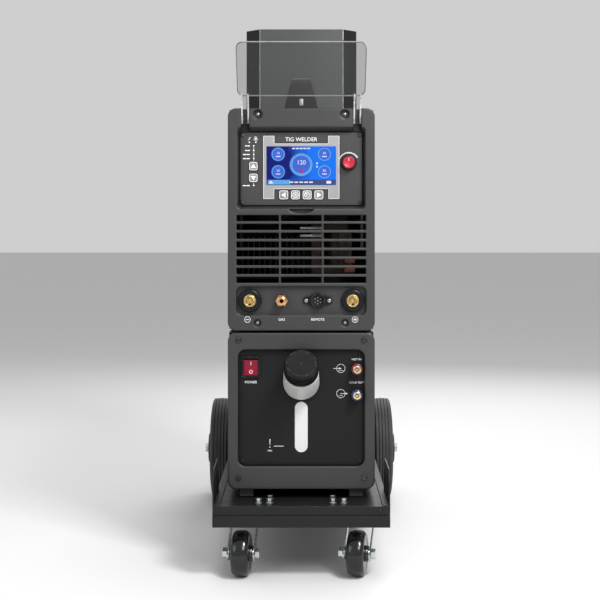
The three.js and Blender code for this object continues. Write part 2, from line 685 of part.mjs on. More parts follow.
// The rear bezel with the air grille, fan spindle, cable gland and gas inlet.
function inverterRearPanel() {
  const half = WIDTH / 2;
  const wall = 3.5;
  const rear = [MACHINE_DEPTH - INVERTER_REAR_DEPTH, MACHINE_DEPTH];
  const face = MACHINE_DEPTH - 5;
  const body = alongY(roundedRect([-half, half], [INVERTER_BOTTOM, INVERTER_TOP], CORNER), rear);
  const pocket = alongY(roundedRect([wall - half, half - wall],
    [INVERTER_BOTTOM + wall, INVERTER_TOP - wall], CORNER - wall), [rear[0] - 1, face]);
  const grille = slotRows([[-58, -22], [22, 58]], INVERTER_FAN_Z + 52, 8, 13.6, 8, [face - 5, 545]);
  const motor = rod(20, [face - 12, face + 1]).translate(0, 0, INVERTER_FAN_Z);
  const spindle = rod(4, [505, face]).translate(0, 0, INVERTER_FAN_Z);
  const gland = cut(join(rod(19, [face, 548], 6), rod(15, [face, 562])), rod(9, [530, 570]))
    .translate(70, 0, 470);
  const inlet = cut(join(rod(11, [face, 546], 6), rod(6, [face, 566])), rod(3.4, [548, 570]))
    .translate(-70, 0, 470);
  const shaftHole = rod(4.4, [face - 1, 545], 16).translate(MAIN_SWITCH.x, 0, MAIN_SWITCH.z);
  return cut(join(cut(body, pocket, ...grille), motor, spindle, gland, inlet), shaftHole);
}

function mainSwitch() {
  const disc = rod(19, [MACHINE_DEPTH + GAP, 547], 24);
  const grip = block([-5, 5], [546, 562], [-17, 17]);
  const shaft = rod(4, [530, 541], 16);
  return join(disc, grip, shaft).translate(MAIN_SWITCH.x, 0, MAIN_SWITCH.z);
}

// A bridge-shaped handle that narrows from its feet to its grip.
function carryHandle() {
  const low = INVERTER_TOP - 0.2;
  const top = 850;
  const [front, back] = [78, 322];
  const bridge = new THREE.Shape();
  bridge.moveTo(front, low);
  bridge.lineTo(front + 6, top - 12);
  bridge.quadraticCurveTo(front + 8, top, front + 22, top);
  bridge.lineTo(back - 22, top);
  bridge.quadraticCurveTo(back - 8, top, back - 6, top - 12);
  bridge.lineTo(back, low);
  bridge.lineTo(back - 26, low);
  bridge.lineTo(back - 32, top - 28);
  bridge.quadraticCurveTo(back - 34, top - 20, back - 44, top - 20);
  bridge.lineTo(front + 44, top - 20);
  bridge.quadraticCurveTo(front + 34, top - 20, front + 32, top - 28);
  bridge.lineTo(front + 26, low);
  const taper = new THREE.Shape();
  taper.moveTo(-32, low - 1);
  taper.lineTo(-18, top - 6);
  taper.quadraticCurveTo(-16, top, -10, top);
  taper.lineTo(10, top);
  taper.quadraticCurveTo(16, top, 18, top - 6);
  taper.lineTo(32, low - 1);
  return common(alongX(bridge, [-60, 60], 5), alongY(taper, [0, 400], 4));
}

function socketCollar(x) {
  return turned([[11.8, -1], [17.5, -1], [19.5, 1], [19.5, SOCKET_FLOOR - GAP],
    [14.5, SOCKET_FLOOR - GAP], [14.5, 40], [11.8, 40]], 24).translate(x, 0, SOCKET_Z);
}

function socketContact(x) {
  const body = turned([[0, 44], [11.5, 44], [11.5, 2], [10.5, 1], [7.4, 1], [6.5, 2.5],
    [6.5, 37], [0, 37]]);
  const keyway = block([-2, 2], [0, 30], [5, 9.5]);
  return cut(body, keyway).translate(x, 0, SOCKET_Z);
}

function gasOutlet() {
  const hex = rod(10.5, [-3, SOCKET_FLOOR - GAP], 6);
  const barrel = turned([[0, -13], [6.8, -13], [7.8, -11.5], [7.8, -3], [7, -2], [7, 30], [0, 30]], 24);
  return cut(join(hex, barrel), rod(3.2, [-20, 26], 16)).translate(GAS_X, 0, SOCKET_Z);
}

function controlSocket() {
  const wing = new THREE.Shape();
  wing.absarc(19.6, 0, 5.5, -1.2, 1.2);
  wing.absarc(0, 0, 13.5, 0.8, Math.PI - 0.8);
  wing.absarc(-19.6, 0, 5.5, Math.PI - 1.2, Math.PI + 1.2);
  wing.absarc(0, 0, 13.5, Math.PI + 0.8, 2 * Math.PI - 0.8);
  const flange = alongY(wing, [3.5, SOCKET_FLOOR - GAP], 5);
  const barrel = join(rod(12, [-1.5, 4], 24), rod(9, [3, 30]));
  return cut(join(flange, barrel), rod(9.6, [-5, 5], 24)).translate(CONTROL_X, 0, SOCKET_Z);
}

function parameterKnob() {
  const profile = [[0, -0.5], [9.3, -0.5], [10.5, 0.8], [10.5, 8], [13, 8.4], [13, 11.6], [3, 11.6],
    [3, 20], [0, 20]];
  return turned(profile).translate(KNOB.x, 0, KNOB.z);
}

function pushKey(size) {
  const half = size / 2;
  return alongY(roundedRect([-half, half], [-half, half], 3.5), [PLATE.y[0] - 1.6, PLATE.y[1] + 1], 3);
}

// The clear cover, built upright from its hinge line at the origin of its group.
function displayCover() {
  const sheetStart = 46.8;
  const sheetEnd = 148;
  const half = 108;
  const thick = 2.5;
  const y = [COVER_OFFSET - thick / 2, COVER_OFFSET + thick / 2];
  const sheet = alongY(roundedRect([-half, half], [sheetStart, sheetEnd], 12), y);
  const arm = outline([
    [-thick / 2, 0], [thick / 2, 0], [y[1] - 1, 20], [y[1], 28], [y[1], sheetStart + 6],
    [y[0], sheetStart + 6], [y[0], 29], [y[0] - 1.2, 22],
  ]);
  const arms = SIDES.flatMap(([, side]) => [
    alongX(arm, onSide(side, ...ARM)),
    toX(rod(3.4, onSide(side, ...ARM), 16)),
    toX(rod(2, onSide(side, ARM[1] - 1, ARM[1] + 4), 12)),
  ]);
  return join(sheet, ...arms);
}

function transformer() {
  const core = cut(block([18, 82], [80, 150], [500, 590]), block([34, 66], [70, 160], [515, 575]));
  const winding = turned([[0, -36], [21, -36], [24, -33], [24, 33], [21, 36], [0, 36]], 24);
  return join(core, toZ(winding).translate(66, 115, 545));
}

// A finned heat sink, drawn across and extruded front to back.
function heatSink() {
  const profile = [[-112, 500], [-112, 494], [6, 494], [6, 500]];
  const fins = 12;
  const pitch = 118 / fins;
  for (let i = 0; i < fins; i += 1) {
    const right = 6 - i * pitch;
    profile.push([right, 570], [right - 3, 570], [right - 3, 500]);
    if (i < fins - 1) profile.push([right - pitch, 500]);
  }
  return alongY(outline(profile.slice(1)), [90, 330]);
}

function inverter() {
  piece('inverter_bezel', BEZEL, inverterBezel());
  piece('control_panel', CONTROL, controlPanel());
  piece('display', SCREEN, display());
  piece('inverter_case', PAINT, inverterCase());
  piece('inverter_base', PAINT, inverterBase());
  piece('inverter_rear_panel', BEZEL, inverterRearPanel());
  piece('main_switch', BLACK, mainSwitch());
  piece('carry_handle', BLACK, carryHandle());
  for (const [name, x] of SOCKETS) {
    piece(`${name}_socket`, BLACK, socketCollar(x));
    piece(`${name}_contact`, BRASS, socketContact(x));
  }
  piece('gas_outlet', BRASS, gasOutlet());
  piece('control_socket', BLACK, controlSocket());
  piece('parameter_knob', RED, parameterKnob());
  for (const [name, x, z, size] of KEYS) piece(name, KEY, pushKey(size).translate(x, 0, z));
  piece('transformer', COPPER, transformer());
  piece('heat_sink', ALUMINIUM, heatSink());
  piece('inverter_fan', BLACK,
    fanRotor(INVERTER_FAN_R, 18, 7, [500, 520]).translate(0, 0, INVERTER_FAN_Z));
  const hinge = new THREE.Group();
  hinge.position.set(0, COVER_HINGE_Y, COVER_HINGE_Z);
  hinge.rotation.x = COVER_LEAN * RAD;
  machine.add(hinge);
  piece('display_cover', CLEAR, displayCover(), hinge);
}

trolley();
cooler();
inverter();

machine.updateMatrixWorld(true);
const bounds = new THREE.Box3().setFromObject(machine, true);
machine.position.y = -(bounds.min.y + bounds.max.y) / 2;

export default machine;
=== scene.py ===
"""A TIG welding machine: an inverter on a water cooler, on a trolley with a gas-bottle cradle.

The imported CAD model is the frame. This script gives its nodes their finishes and soft edges, replaces
the turned parts with finely modelled ones, and adds fasteners, marks, lamps and the lit screen.
Places are in millimetres from the middle of the machine's front face at floor level: x to the right,
y to the back, z up. at() turns them into the frame's metres.
"""
import json
import math

import bmesh
import bpy
from mathutils import Matrix, Vector


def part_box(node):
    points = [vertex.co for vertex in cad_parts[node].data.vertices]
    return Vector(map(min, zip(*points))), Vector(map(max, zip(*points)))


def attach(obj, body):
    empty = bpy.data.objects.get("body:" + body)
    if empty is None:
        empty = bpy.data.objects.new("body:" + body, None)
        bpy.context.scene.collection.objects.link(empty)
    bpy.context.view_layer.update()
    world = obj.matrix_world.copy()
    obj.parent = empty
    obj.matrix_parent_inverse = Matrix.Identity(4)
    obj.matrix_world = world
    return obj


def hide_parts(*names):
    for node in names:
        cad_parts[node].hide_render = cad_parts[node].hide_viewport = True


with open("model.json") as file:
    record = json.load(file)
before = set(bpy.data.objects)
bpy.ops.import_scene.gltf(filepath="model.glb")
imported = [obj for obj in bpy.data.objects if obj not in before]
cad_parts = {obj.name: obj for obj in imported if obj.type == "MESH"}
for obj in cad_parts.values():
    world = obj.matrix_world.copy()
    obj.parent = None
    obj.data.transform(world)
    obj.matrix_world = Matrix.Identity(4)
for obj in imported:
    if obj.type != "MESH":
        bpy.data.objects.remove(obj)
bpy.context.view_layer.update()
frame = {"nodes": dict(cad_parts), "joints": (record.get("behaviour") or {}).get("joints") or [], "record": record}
NODES = frame["nodes"]
JOINTS = {joint["name"]: joint for joint in frame["joints"]}

MM = 0.001
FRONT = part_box("inverter_bezel")[0].y
FORWARD = Vector((0, -1, 0))
BACKWARD = Vector((0, 1, 0))
UP = Vector((0, 0, 1))
RIGHT = Vector((1, 0, 0))
SIDES = (("left", -1), ("right", 1))


def at(x, y, z):
    return Vector((x * MM, FRONT + y * MM, z * MM))


def pairs(x, y, *heights):
    """Places at both sides of the middle, at each of the heights."""
    return [at(side * x, y, z) for _, side in SIDES for z in heights]


def new_object(name, data):
    made = bpy.data.objects.new(name, data)
    bpy.context.scene.collection.objects.link(made)
    return made


def configure(thing, settings):
    for name, value in settings.items():
        setattr(thing, name, value)


# ---- Camera, light and floor ----
HORIZON_SHIFT = -0.1167
SIDE_SHIFT = -0.0037
CAMERA_BACK = 2160
CAMERA_HEIGHT = 580
CAMERA_RIGHT = 1.6
LENS = 76.2
SENSOR = 36
PALE = (0.62, 0.62, 0.62, 1)
WHITE = (1, 1, 1, 1)
STUDIO_STRENGTH = 0.62
FLOOR_HALF = 30
LIT_HEIGHT = 500
# Name, place in millimetres, the panel's width and height in metres, and watts.
LIGHTS = (
    ("key", (900, -1200, 2100), (0.5, 0.5), 50),
    ("front", (700, -1700, 1500), (0.7, 0.7), 16),
    ("fill", (-1700, -1400, 1300), (1.2, 1.2), 9),
    ("top", (0, 500, 2600), (1.4, 1.0), 18),
    ("rear", (600, 2400, 1800), (1.4, 1.4), 30),
)


def add_camera():
    data = bpy.data.cameras.new("camera")
    data.sensor_width = SENSOR
    data.lens = LENS
    data.shift_x = SIDE_SHIFT
    data.shift_y = HORIZON_SHIFT
    camera = new_object("camera", data)
    camera.location = at(CAMERA_RIGHT, -CAMERA_BACK, CAMERA_HEIGHT)
    camera.rotation_euler = (math.radians(90), 0, 0)
    bpy.context.scene.camera = camera


def add_lights():
    target = at(0, 0, LIT_HEIGHT)
    for name, (x, y, z), size, power in LIGHTS:
        data = bpy.data.lights.new(name, "AREA")
        data.shape = "RECTANGLE"
        data.size, data.size_y = size
        data.energy = power
        light = new_object(name, data)
        light.location = at(x, y, z)
        light.rotation_euler = (target - light.location).to_track_quat("-Z", "Y").to_euler()


def add_studio():
    """A plain pale floor under an even white surround."""
    world = bpy.data.worlds.new("studio")
    world.use_nodes = True
    background = world.node_tree.nodes["Background"]
    background.inputs["Color"].default_value = WHITE
    background.inputs["Strength"].default_value = STUDIO_STRENGTH
    bpy.context.scene.world = world
    bpy.context.scene.view_settings.view_transform = "Standard"

    mesh = bpy.data.meshes.new("floor")
    corners = [(x * FLOOR_HALF, y * FLOOR_HALF, 0) for x, y in ((-1, -1), (1, -1), (1, 1), (-1, 1))]
    mesh.from_pydata(corners, [], [(0, 1, 2, 3)])
    paint, tree, shader = shader_graph("floor")
    feed(tree, shader, {"Base Color": PALE, "Roughness": 0.7})
    mesh.materials.append(paint)
    new_object("floor", mesh)


# ---- Materials ----
def shader_graph(name):
    made = bpy.data.materials.new(name)
    made.use_nodes = True
    return made, made.node_tree, made.node_tree.nodes["Principled BSDF"]


def feed(tree, node, inputs):
    """Sets a node's inputs to values, or links them to the outputs of other nodes."""
    for key, value in inputs.items():
        if isinstance(value, bpy.types.NodeSocket):
            tree.links.new(value, node.inputs[key])
        else:
            node.inputs[key].default_value = value


def add_node(tree, kind, inputs=None, **settings):
    """A new shader node's outputs. The settings come before the inputs that depend on them."""
    node = tree.nodes.new("ShaderNode" + kind)
    configure(node, settings)
    feed(tree, node, inputs or {})
    return node.outputs


def grey(level):
    return (level, level, level)


def noise(tree, scale, detail, stretch=None):
    """Noise in the object's own space, scaled by stretch along each axis."""
    place = add_node(tree, "TexCoord")["Object"]
    if stretch:
        place = add_node(tree, "Mapping", {"Vector": place, "Scale": stretch})["Vector"]
    return add_node(tree, "TexNoise", {"Vector": place, "Scale": scale, "Detail": detail})["Fac"]


def ramp(tree, source, low, high, color_low, color_high):
    node = tree.nodes.new("ShaderNodeValToRGB")
    feed(tree, node, {"Fac": source})
    first, last = node.color_ramp.elements
    first.position = low
    last.position = high
    first.color = (*color_low, 1)
    last.color = (*color_high, 1)
    return node.outputs["Color"]


def edge_mask(tree):
    """White along edges: where the rounded normal turns away from the true one."""
    rounded = add_node(tree, "Bevel", {"Radius": 1.2 * MM}, samples=4)["Normal"]
    true = add_node(tree, "NewGeometry")["Normal"]
    dot = add_node(tree, "VectorMath", {0: rounded, 1: true}, operation="DOT_PRODUCT")["Value"]
    return ramp(tree, dot, 0.86, 0.985, grey(1), grey(0))


def wear_and_highlight_edges(tree, tone, edge_wear_and_highlight):
    """The tone, with the edge colour in patches along the edges: wear on some finishes, a painted highlight on
    others.
    """
    patches = ramp(tree, noise(tree, 160.0, 5.0), 0.42, 0.62, grey(0), grey(0.7))
    share = add_node(tree, "Math", {0: edge_mask(tree), 1: patches}, operation="MULTIPLY")["Value"]
    return add_node(tree, "Mix", {"Factor": share, "A": tone, "B": (*edge_wear_and_highlight, 1)},
                    data_type="RGBA")["Result"]


def paint_recess_shade(tree, tone, reach):
    """Painted shade: the tone, darker where walls stand close by, as shade falls in a recess."""
    open_share = add_node(tree, "AmbientOcclusion", {"Distance": reach}, samples=8)["AO"]
    shade = ramp(tree, open_share, 0.45, 0.97, grey(0.05), grey(1))
    return add_node(tree, "Mix", {"Factor": 1.0, "A": tone, "B": shade},
                    data_type="RGBA", blend_type="MULTIPLY")["Result"]


def surface(name, color, roughness, metallic=0.0, grain=0.0, grain_scale=1500.0, mottle=0.12,
            mottle_scale=9.0, rough_spread=0.08, stretch=None, coat=0.0, edge=None, specular=0.5,
            cavity=0.0, soften=0.0):
    """A procedural finish: large soft colour variation, uneven gloss, and a fine surface grain.
    edge is the colour along edges: wear on some finishes, a painted highlight on others. The recess-shade setting
    paints shade into recesses within that many millimetres, and soften rounds edges by its radius."""
    made, tree, shader = shader_graph(name)
    darker = [c * (1 - mottle) for c in color]
    lighter = [min(1, c * (1 + mottle)) for c in color]
    tone = ramp(tree, noise(tree, mottle_scale, 4.0), 0.3, 0.7, darker, lighter)
    # The edge colour is wear on the trolley and cover paint, and a painted highlight on the black plastic, black
    # screws and cradle.
    if edge:
        tone = wear_and_highlight_edges(tree, tone, edge)
    # Painted shade in recesses.
    if cavity:
        tone = paint_recess_shade(tree, tone, cavity * MM)
    gloss = add_node(tree, "MapRange", {"Value": noise(tree, mottle_scale * 6, 5.0, stretch),
                                        "To Min": max(0.03, roughness - rough_spread),
                                        "To Max": roughness + rough_spread})["Result"]
    feed(tree, shader, {"Base Color": tone, "Roughness": gloss, "Metallic": metallic,
                        "Specular IOR Level": specular, "Coat Weight": coat,
                        "Coat Roughness": 0.15})
    if grain:
        bump = {"Strength": grain, "Distance": 0.15 * MM,
                "Height": noise(tree, grain_scale, 2.0, stretch)}
        if soften:
            bump["Normal"] = add_node(tree, "Bevel", {"Radius": soften * MM}, samples=6)["Normal"]
        feed(tree, shader, {"Normal": add_node(tree, "Bump", bump)["Normal"]})
    return made


def glowing(name, color, strength):
    made, tree, shader = shader_graph(name)
    tone = ramp(tree, noise(tree, 60.0, 3.0), 0.35, 0.65, [c * 0.85 for c in color], color)
    feed(tree, shader, {"Base Color": (0.01, 0.01, 0.01, 1), "Roughness": 0.25,
                        "Emission Color": tone, "Emission Strength": strength})
    return made


def clear_plastic():
    """A clear sheet: nearly invisible face on, and greyer along its polished edges."""
    made, tree, shader = shader_graph("clear_plastic")
    tone = ramp(tree, noise(tree, 30.0, 4.0), 0.3, 0.7, (0.050, 0.053, 0.053),
                (0.060, 0.063, 0.063))
    turned = add_node(tree, "LayerWeight", {"Blend": 0.5})["Facing"]
    veil = add_node(tree, "MapRange", {"Value": turned, "From Min": 0.45, "From Max": 0.95,
                                       "To Min": 0.20, "To Max": 0.62})["Result"]
    feed(tree, shader, {"Base Color": tone, "Alpha": veil, "Specular IOR Level": 0.3,
                        "Roughness": 0.14})
    return made


SCREEN_X = (-59.5, 59.5)
SCREEN_Z = (657.0, 723.0)


def screen_glow():
    """The lit screen's ground: deep blue at the left, lighter to the upper right."""
    made, tree, shader = shader_graph("screen_glow")
    place = add_node(tree, "TexCoord")["Object"]
    x = add_node(tree, "SeparateXYZ", {"Vector": place})["X"]
    across = add_node(tree, "MapRange", {"Value": x, "From Min": SCREEN_X[0] * MM,
                                         "From Max": SCREEN_X[1] * MM})["Result"]
    cloud = add_node(tree, "Math", {0: noise(tree, 28.0, 4.0), 1: 0.7, 2: across},
                     operation="MULTIPLY_ADD")["Value"]
    tone = ramp(tree, cloud, 0.6, 1.0, (0.001, 0.006, 0.17), (0.006, 0.20, 1.0))
    feed(tree, shader, {"Base Color": (0.004, 0.005, 0.02, 1), "Specular IOR Level": 0.12,
                        "Roughness": 0.12, "Emission Color": tone, "Emission Strength": 0.9})
    return made


COIL_STRETCH = (0.05, 0.05, 1)

# The finish of each material slot, by the slot's name.
FINISH = {"clear_plastic": clear_plastic()}


def slot_finish(slot, *look, **options):
    FINISH[slot] = surface(slot, *look, **options)


# The recess-shade settings below paint shade into the recesses of the trolley, bezels, cooler panel and control
# face.
slot_finish("trolley_steel", (0.009, 0.009, 0.0095), 0.42, 0.1, grain=0.35, grain_scale=900,
            edge=(0.12, 0.12, 0.125), specular=0.28, cavity=10)
slot_finish("zinc_steel", (0.56, 0.59, 0.60), 0.28, 1.0, grain=0.12, mottle=0.2, mottle_scale=40,
            rough_spread=0.12)
slot_finish("tyre", (0.033, 0.0305, 0.029), 0.72, grain=0.5, grain_scale=700, mottle=0.25,
            mottle_scale=25)
slot_finish("wheel_plastic", (0.022, 0.022, 0.023), 0.4, grain=0.2)
slot_finish("castor_tread", grey(0.006), 0.17, grain=0.22, grain_scale=420, mottle=0.5,
            mottle_scale=60, rough_spread=0.1)
slot_finish("bezel_plastic", (0.024, 0.024, 0.0245), 0.46, grain=0.4, grain_scale=1300, mottle=0.07,
            cavity=16, soften=4.5)
slot_finish("panel_paint", (0.0065, 0.0065, 0.007), 0.5, grain=0.3, grain_scale=1600, specular=0.2,
            cavity=14)
slot_finish("cover_paint", (0.018, 0.018, 0.020), 0.5, 0.1, grain=0.55, grain_scale=1000,
            edge=(0.10, 0.10, 0.11))
slot_finish("rubber", grey(0.05), 0.75, grain=0.4, grain_scale=800)
slot_finish("tank_plastic", (0.56, 0.56, 0.55), 0.38, grain=0.15, grain_scale=600, mottle=0.03)
# Its edge colour is a painted highlight round the rims of the cap, collars, shell and knob.
slot_finish("black_plastic", (0.006, 0.006, 0.0065), 0.3, grain=0.15, specular=0.22,
            edge=grey(0.16))
slot_finish("red_plastic", (0.42, 0.010, 0.030), 0.3, mottle=0.08)
slot_finish("blue_plastic", (0.012, 0.035, 0.16), 0.35, mottle=0.1)
slot_finish("brass", (0.92, 0.74, 0.40), 0.16, 1.0, grain=0.1, mottle=0.12, mottle_scale=60)
slot_finish("pump_housing", (0.10, 0.10, 0.11), 0.5, grain=0.3)
slot_finish("aluminium", (0.55, 0.56, 0.57), 0.32, 1.0, grain=0.15)
slot_finish("control_face", (0.050, 0.050, 0.051), 0.38, 0.4, grain=0.25, grain_scale=1800,
            mottle=0.06, cavity=8, soften=1.2)
slot_finish("screen", grey(0.30), 0.36, 0.3, mottle=0.04, grain=0.1)
slot_finish("key_plastic", grey(0.21), 0.38, 0.2, mottle=0.05, grain=0.1)
slot_finish("copper", (0.62, 0.30, 0.13), 0.3, 0.9, grain=0.8, grain_scale=420,
            stretch=COIL_STRETCH)
# The nodes whose paint or plating differs from the rest of their slot. The cradle's lighter grey is a painted
# reflection, and the heat sink's and transformer's darkness is painted shade inside the case.
OWN_FINISH = {
    # A lighter copy of the trolley's black paint: a painted reflection on the upright's flat, with a painted
    # highlight along its folds.
    "bottle_cradle": surface("cradle_lit_steel", (0.060, 0.061, 0.062), 0.45, 0.7, grain=0.3,
                             grain_scale=900, edge=grey(0.4)),
    "switch_rocker": surface("rocker_red", (0.20, 0.003, 0.018), 0.28, mottle=0.06, specular=0.25),
    "carry_handle": surface("handle_grip", (0.007, 0.007, 0.0075), 0.5, grain=0.5,
                            grain_scale=900, specular=0.3),
    # Both darker than their anodising and varnish alone: painted shade for the inside of the case.
    "heat_sink": surface("anodised_shaded_fins", (0.012, 0.012, 0.013), 0.4, 0.6, grain=0.15),
    "transformer": surface("varnished_shaded_winding", (0.050, 0.020, 0.008), 0.45, grain=0.8,
                           grain_scale=420, stretch=COIL_STRETCH),
}
# The finishes of pieces that no node stands for.
DARK_RED = surface("dark_red_sleeve", (0.12, 0.004, 0.010), 0.32, mottle=0.1)
DARK_BLUE = surface("dark_blue_sleeve", (0.006, 0.020, 0.085), 0.32, mottle=0.1)
# A darker copy of the brass: painted shade deep in the sockets' bores.
BORE_SHADE_BRASS = surface("bore_shade_brass", (0.66, 0.52, 0.27), 0.26, 1.0, mottle=0.3, mottle_scale=90)
COPPER_BRASS = surface("copper_brass", (0.72, 0.40, 0.20), 0.25, 1.0, grain=0.15, mottle=0.15,
                       mottle_scale=80)
# A painted highlight for the lines along the cradle's folds.
FOLD_HIGHLIGHT = surface("fold_highlight", (0.36, 0.36, 0.37), 0.4, 0.6, mottle=0.4, mottle_scale=50)
SCREW_STEEL = surface("screw_steel", (0.42, 0.43, 0.44), 0.26, 1.0, mottle=0.15, mottle_scale=200)
DULL_SCREW = surface("dull_screw", grey(0.34), 0.3, 0.9, mottle=0.1)
# Its edge colour is a painted highlight round the screw heads.
BLACK_SCREW = surface("black_screw", (0.007, 0.007, 0.0075), 0.3, 0.3, mottle=0.1, edge=grey(0.3))
DARK = surface("dark_hole", grey(0.004), 0.7, mottle=0.05)
PRINT = surface("print_white", (0.74, 0.75, 0.76), 0.5, mottle=0.04)
PRINT_GREY = surface("print_grey", grey(0.50), 0.5, mottle=0.04)
ORANGE = surface("orange_resin", (0.36, 0.07, 0.03), 0.35, mottle=0.15, mottle_scale=50)
LAMP = surface("lamp", (0.78, 0.78, 0.74), 0.2, coat=0.5, mottle=0.05)
SCREEN_GLOW = screen_glow()
GLOW = {name: glowing(f"glow_{name}", color, strength) for name, color, strength in (
    ("cyan", (0.10, 0.42, 0.95), 0.95), ("blue", (0.025, 0.13, 0.80), 0.9),
    ("deep", (0.012, 0.06, 0.30), 0.85), ("halo", (0.01, 0.10, 0.55), 0.8),
    ("white", (0.85, 0.90, 1.0), 1.0), ("red", (0.45, 0.01, 0.12), 0.9))}


# ---- Mesh building ----
# Turns a shape's local +Z to face forward, with its y up.
FACE_FRONT = Matrix.Rotation(math.radians(90), 4, "X")
SMOOTH_ANGLE = math.radians(35)


def frame_at(place, direction):
    """A matrix that puts local +Z along direction, at place."""
    turn = direction.to_track_quat("Z", "Y").to_matrix().to_4x4()
    return Matrix.Translation(place) @ turn


def circle(count):
    """The angles of count even steps round a circle."""
    return [2 * math.pi * step / count for step in range(count)]


def revolve(profile, segments=64, ripple=None):
    """A turned body about +Z. The profile, in millimetres of (radius, height), closes on itself,
    or begins and ends on the axis. ripple(angle, radius, height) scales a point's radius."""
    bm = bmesh.new()
    rings = []
    for radius, height in profile:
        if radius == 0:
            rings.append([bm.verts.new((0, 0, height * MM))])
            continue
        ring = []
        for angle in circle(segments):
            reach = radius * MM * (ripple(angle, radius, height) if ripple else 1)
            ring.append(bm.verts.new((reach * math.cos(angle), reach * math.sin(angle), height * MM)))
        rings.append(ring)
    following = rings[1:] + ([rings[0]] if profile[0][0] > 0 else [])
    for lower, upper in zip(rings, following):
        for step in range(segments):
            after = (step + 1) % segments
            corners = (lower[step % len(lower)], lower[after % len(lower)],
                       upper[after % len(upper)], upper[step % len(upper)])
            face = list(dict.fromkeys(corners))
            if len(face) > 2:
                bm.faces.new(face)
    bmesh.ops.recalc_face_normals(bm, faces=bm.faces)
    return bm


def thicken(bm, shift):
    """Raises all the faces of a flat mesh by a shift in millimetres, with walls between."""
    raised = bmesh.ops.extrude_face_region(bm, geom=bm.faces[:])["geom"]
    for vert in (item for item in raised if isinstance(item, bmesh.types.BMVert)):
        vert.co += shift * MM
    bmesh.ops.recalc_face_normals(bm, faces=bm.faces)


def prism(points, depth, bevel=0.0, segments=2):
    """An outline in millimetres, drawn in local x and y, raised by depth along +Z."""
    bm = bmesh.new()
    bm.faces.new([bm.verts.new((x * MM, y * MM, 0)) for x, y in points])
    thicken(bm, UP * depth)
    if bevel:
        bmesh.ops.bevel(bm, geom=bm.edges[:], offset=bevel * MM, segments=segments,
                        affect="EDGES", profile=0.5, clamp_overlap=True)
    return bm


def rounded_outline(width, height, radius, steps=6):
    points = []
    for turn in range(4):
        middle = Vector(((width / 2 - radius) * (1, -1, -1, 1)[turn],
                         (height / 2 - radius) * (1, 1, -1, -1)[turn]))
        for step in range(steps + 1):
            angle = math.pi / 2 * (turn + step / steps)
            points.append((middle.x + radius * math.cos(angle), middle.y + radius * math.sin(angle)))
    return points


def frame_prism(width, height, radius, band, depth):
    """A flat rounded frame of the given band width, raised by depth along +Z."""
    bm = bmesh.new()
    loops = []
    for inset in (0, band):
        outline = rounded_outline(width - 2 * inset, height - 2 * inset, radius - inset)
        loops.append([bm.verts.new((x * MM, y * MM, 0)) for x, y in outline])
    outer, inner = loops
    for i, start in enumerate(outer):
        bm.faces.new((inner[i], start, outer[i - 1], inner[i - 1]))
    thicken(bm, UP * depth)
    return bm


def gather(parts):
    """One mesh of (bmesh, matrix) parts."""
    whole = bmesh.new()
    for bm, matrix in parts:
        bm.transform(matrix)
        mesh = bpy.data.meshes.new("part")
        bm.to_mesh(mesh)
        bm.free()
        whole.from_mesh(mesh)
        bpy.data.meshes.remove(mesh)
    return whole


def add(name, bm, finish, body="root", replaces=None):
    """Makes a piece of a mesh that is already in place. finish is a slot's name or a material, and
    replaces is the node that the piece stands for."""
    mesh = bpy.data.meshes.new(name)
    bm.to_mesh(mesh)
    bm.free()
    mesh.shade_smooth()
    mesh.set_sharp_from_angle(angle=SMOOTH_ANGLE)
    mesh.materials.append(FINISH[finish] if isinstance(finish, str) else finish)
    piece = new_object(name, mesh)
    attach(piece, body)
    if replaces:
        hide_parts(replaces)
    return piece


def add_turned(name, profile, place, direction, finish, body="root", replaces=None, segments=64,
               ripple=None):
    bm = revolve(profile, segments, ripple)
    bm.transform(frame_at(place, direction))
    return add(name, bm, finish, body, replaces)


# Flat marks on faces that look forward. Each is drawn in (x, z) millimetres into one mesh, then
# given a small thickness.
MARK_THICKNESS = 0.12


def ink_polygon(bm, points, y):
    bm.faces.new([bm.verts.new(at(x, y, z)) for x, z in points])


def ink_box(bm, x, z, width, height, y, radius=0.0):
    outline = rounded_outline(width, height, radius or min(width, height) * 0.2, 3)
    ink_polygon(bm, [(x + a, z + b) for a, b in outline], y)


def ink_ring(bm, x, z, inner, outer, y, start=0.0, end=360.0, steps=48):
    count = max(4, int(steps * (end - start) / 360))
    spokes = []
    for step in range(count + 1):
        angle = math.radians(start + (end - start) * step / count)
        spokes.append([bm.verts.new(at(x + r * math.cos(angle), y, z + r * math.sin(angle)))
                       for r in (inner, outer)])
    for first, second in zip(spokes, spokes[1:]):
        bm.faces.new((first[0], first[1], second[1], second[0]))


def ink_disc(bm, x, z, radius, y, steps=40):
    ink_polygon(bm, [(x + radius * math.cos(angle), z + radius * math.sin(angle))
                     for angle in circle(steps)], y)


def ink_line(bm, start, end, width, y):
    first, last = Vector(start), Vector(end)
    along = (last - first).normalized()
    side = Vector((-along.y, along.x)) * width / 2
    ink_polygon(bm, [first + side, first - side, last - side, last + side], y)


def add_marks(name, draw, finish, body="root"):
    """draw(bm) puts flat shapes into the mesh; they then gain thickness towards the back."""
    bm = bmesh.new()
    draw(bm)
    bmesh.ops.remove_doubles(bm, verts=bm.verts, dist=1e-7)
    thicken(bm, BACKWARD * MARK_THICKNESS)
    return add(name, bm, finish, body)


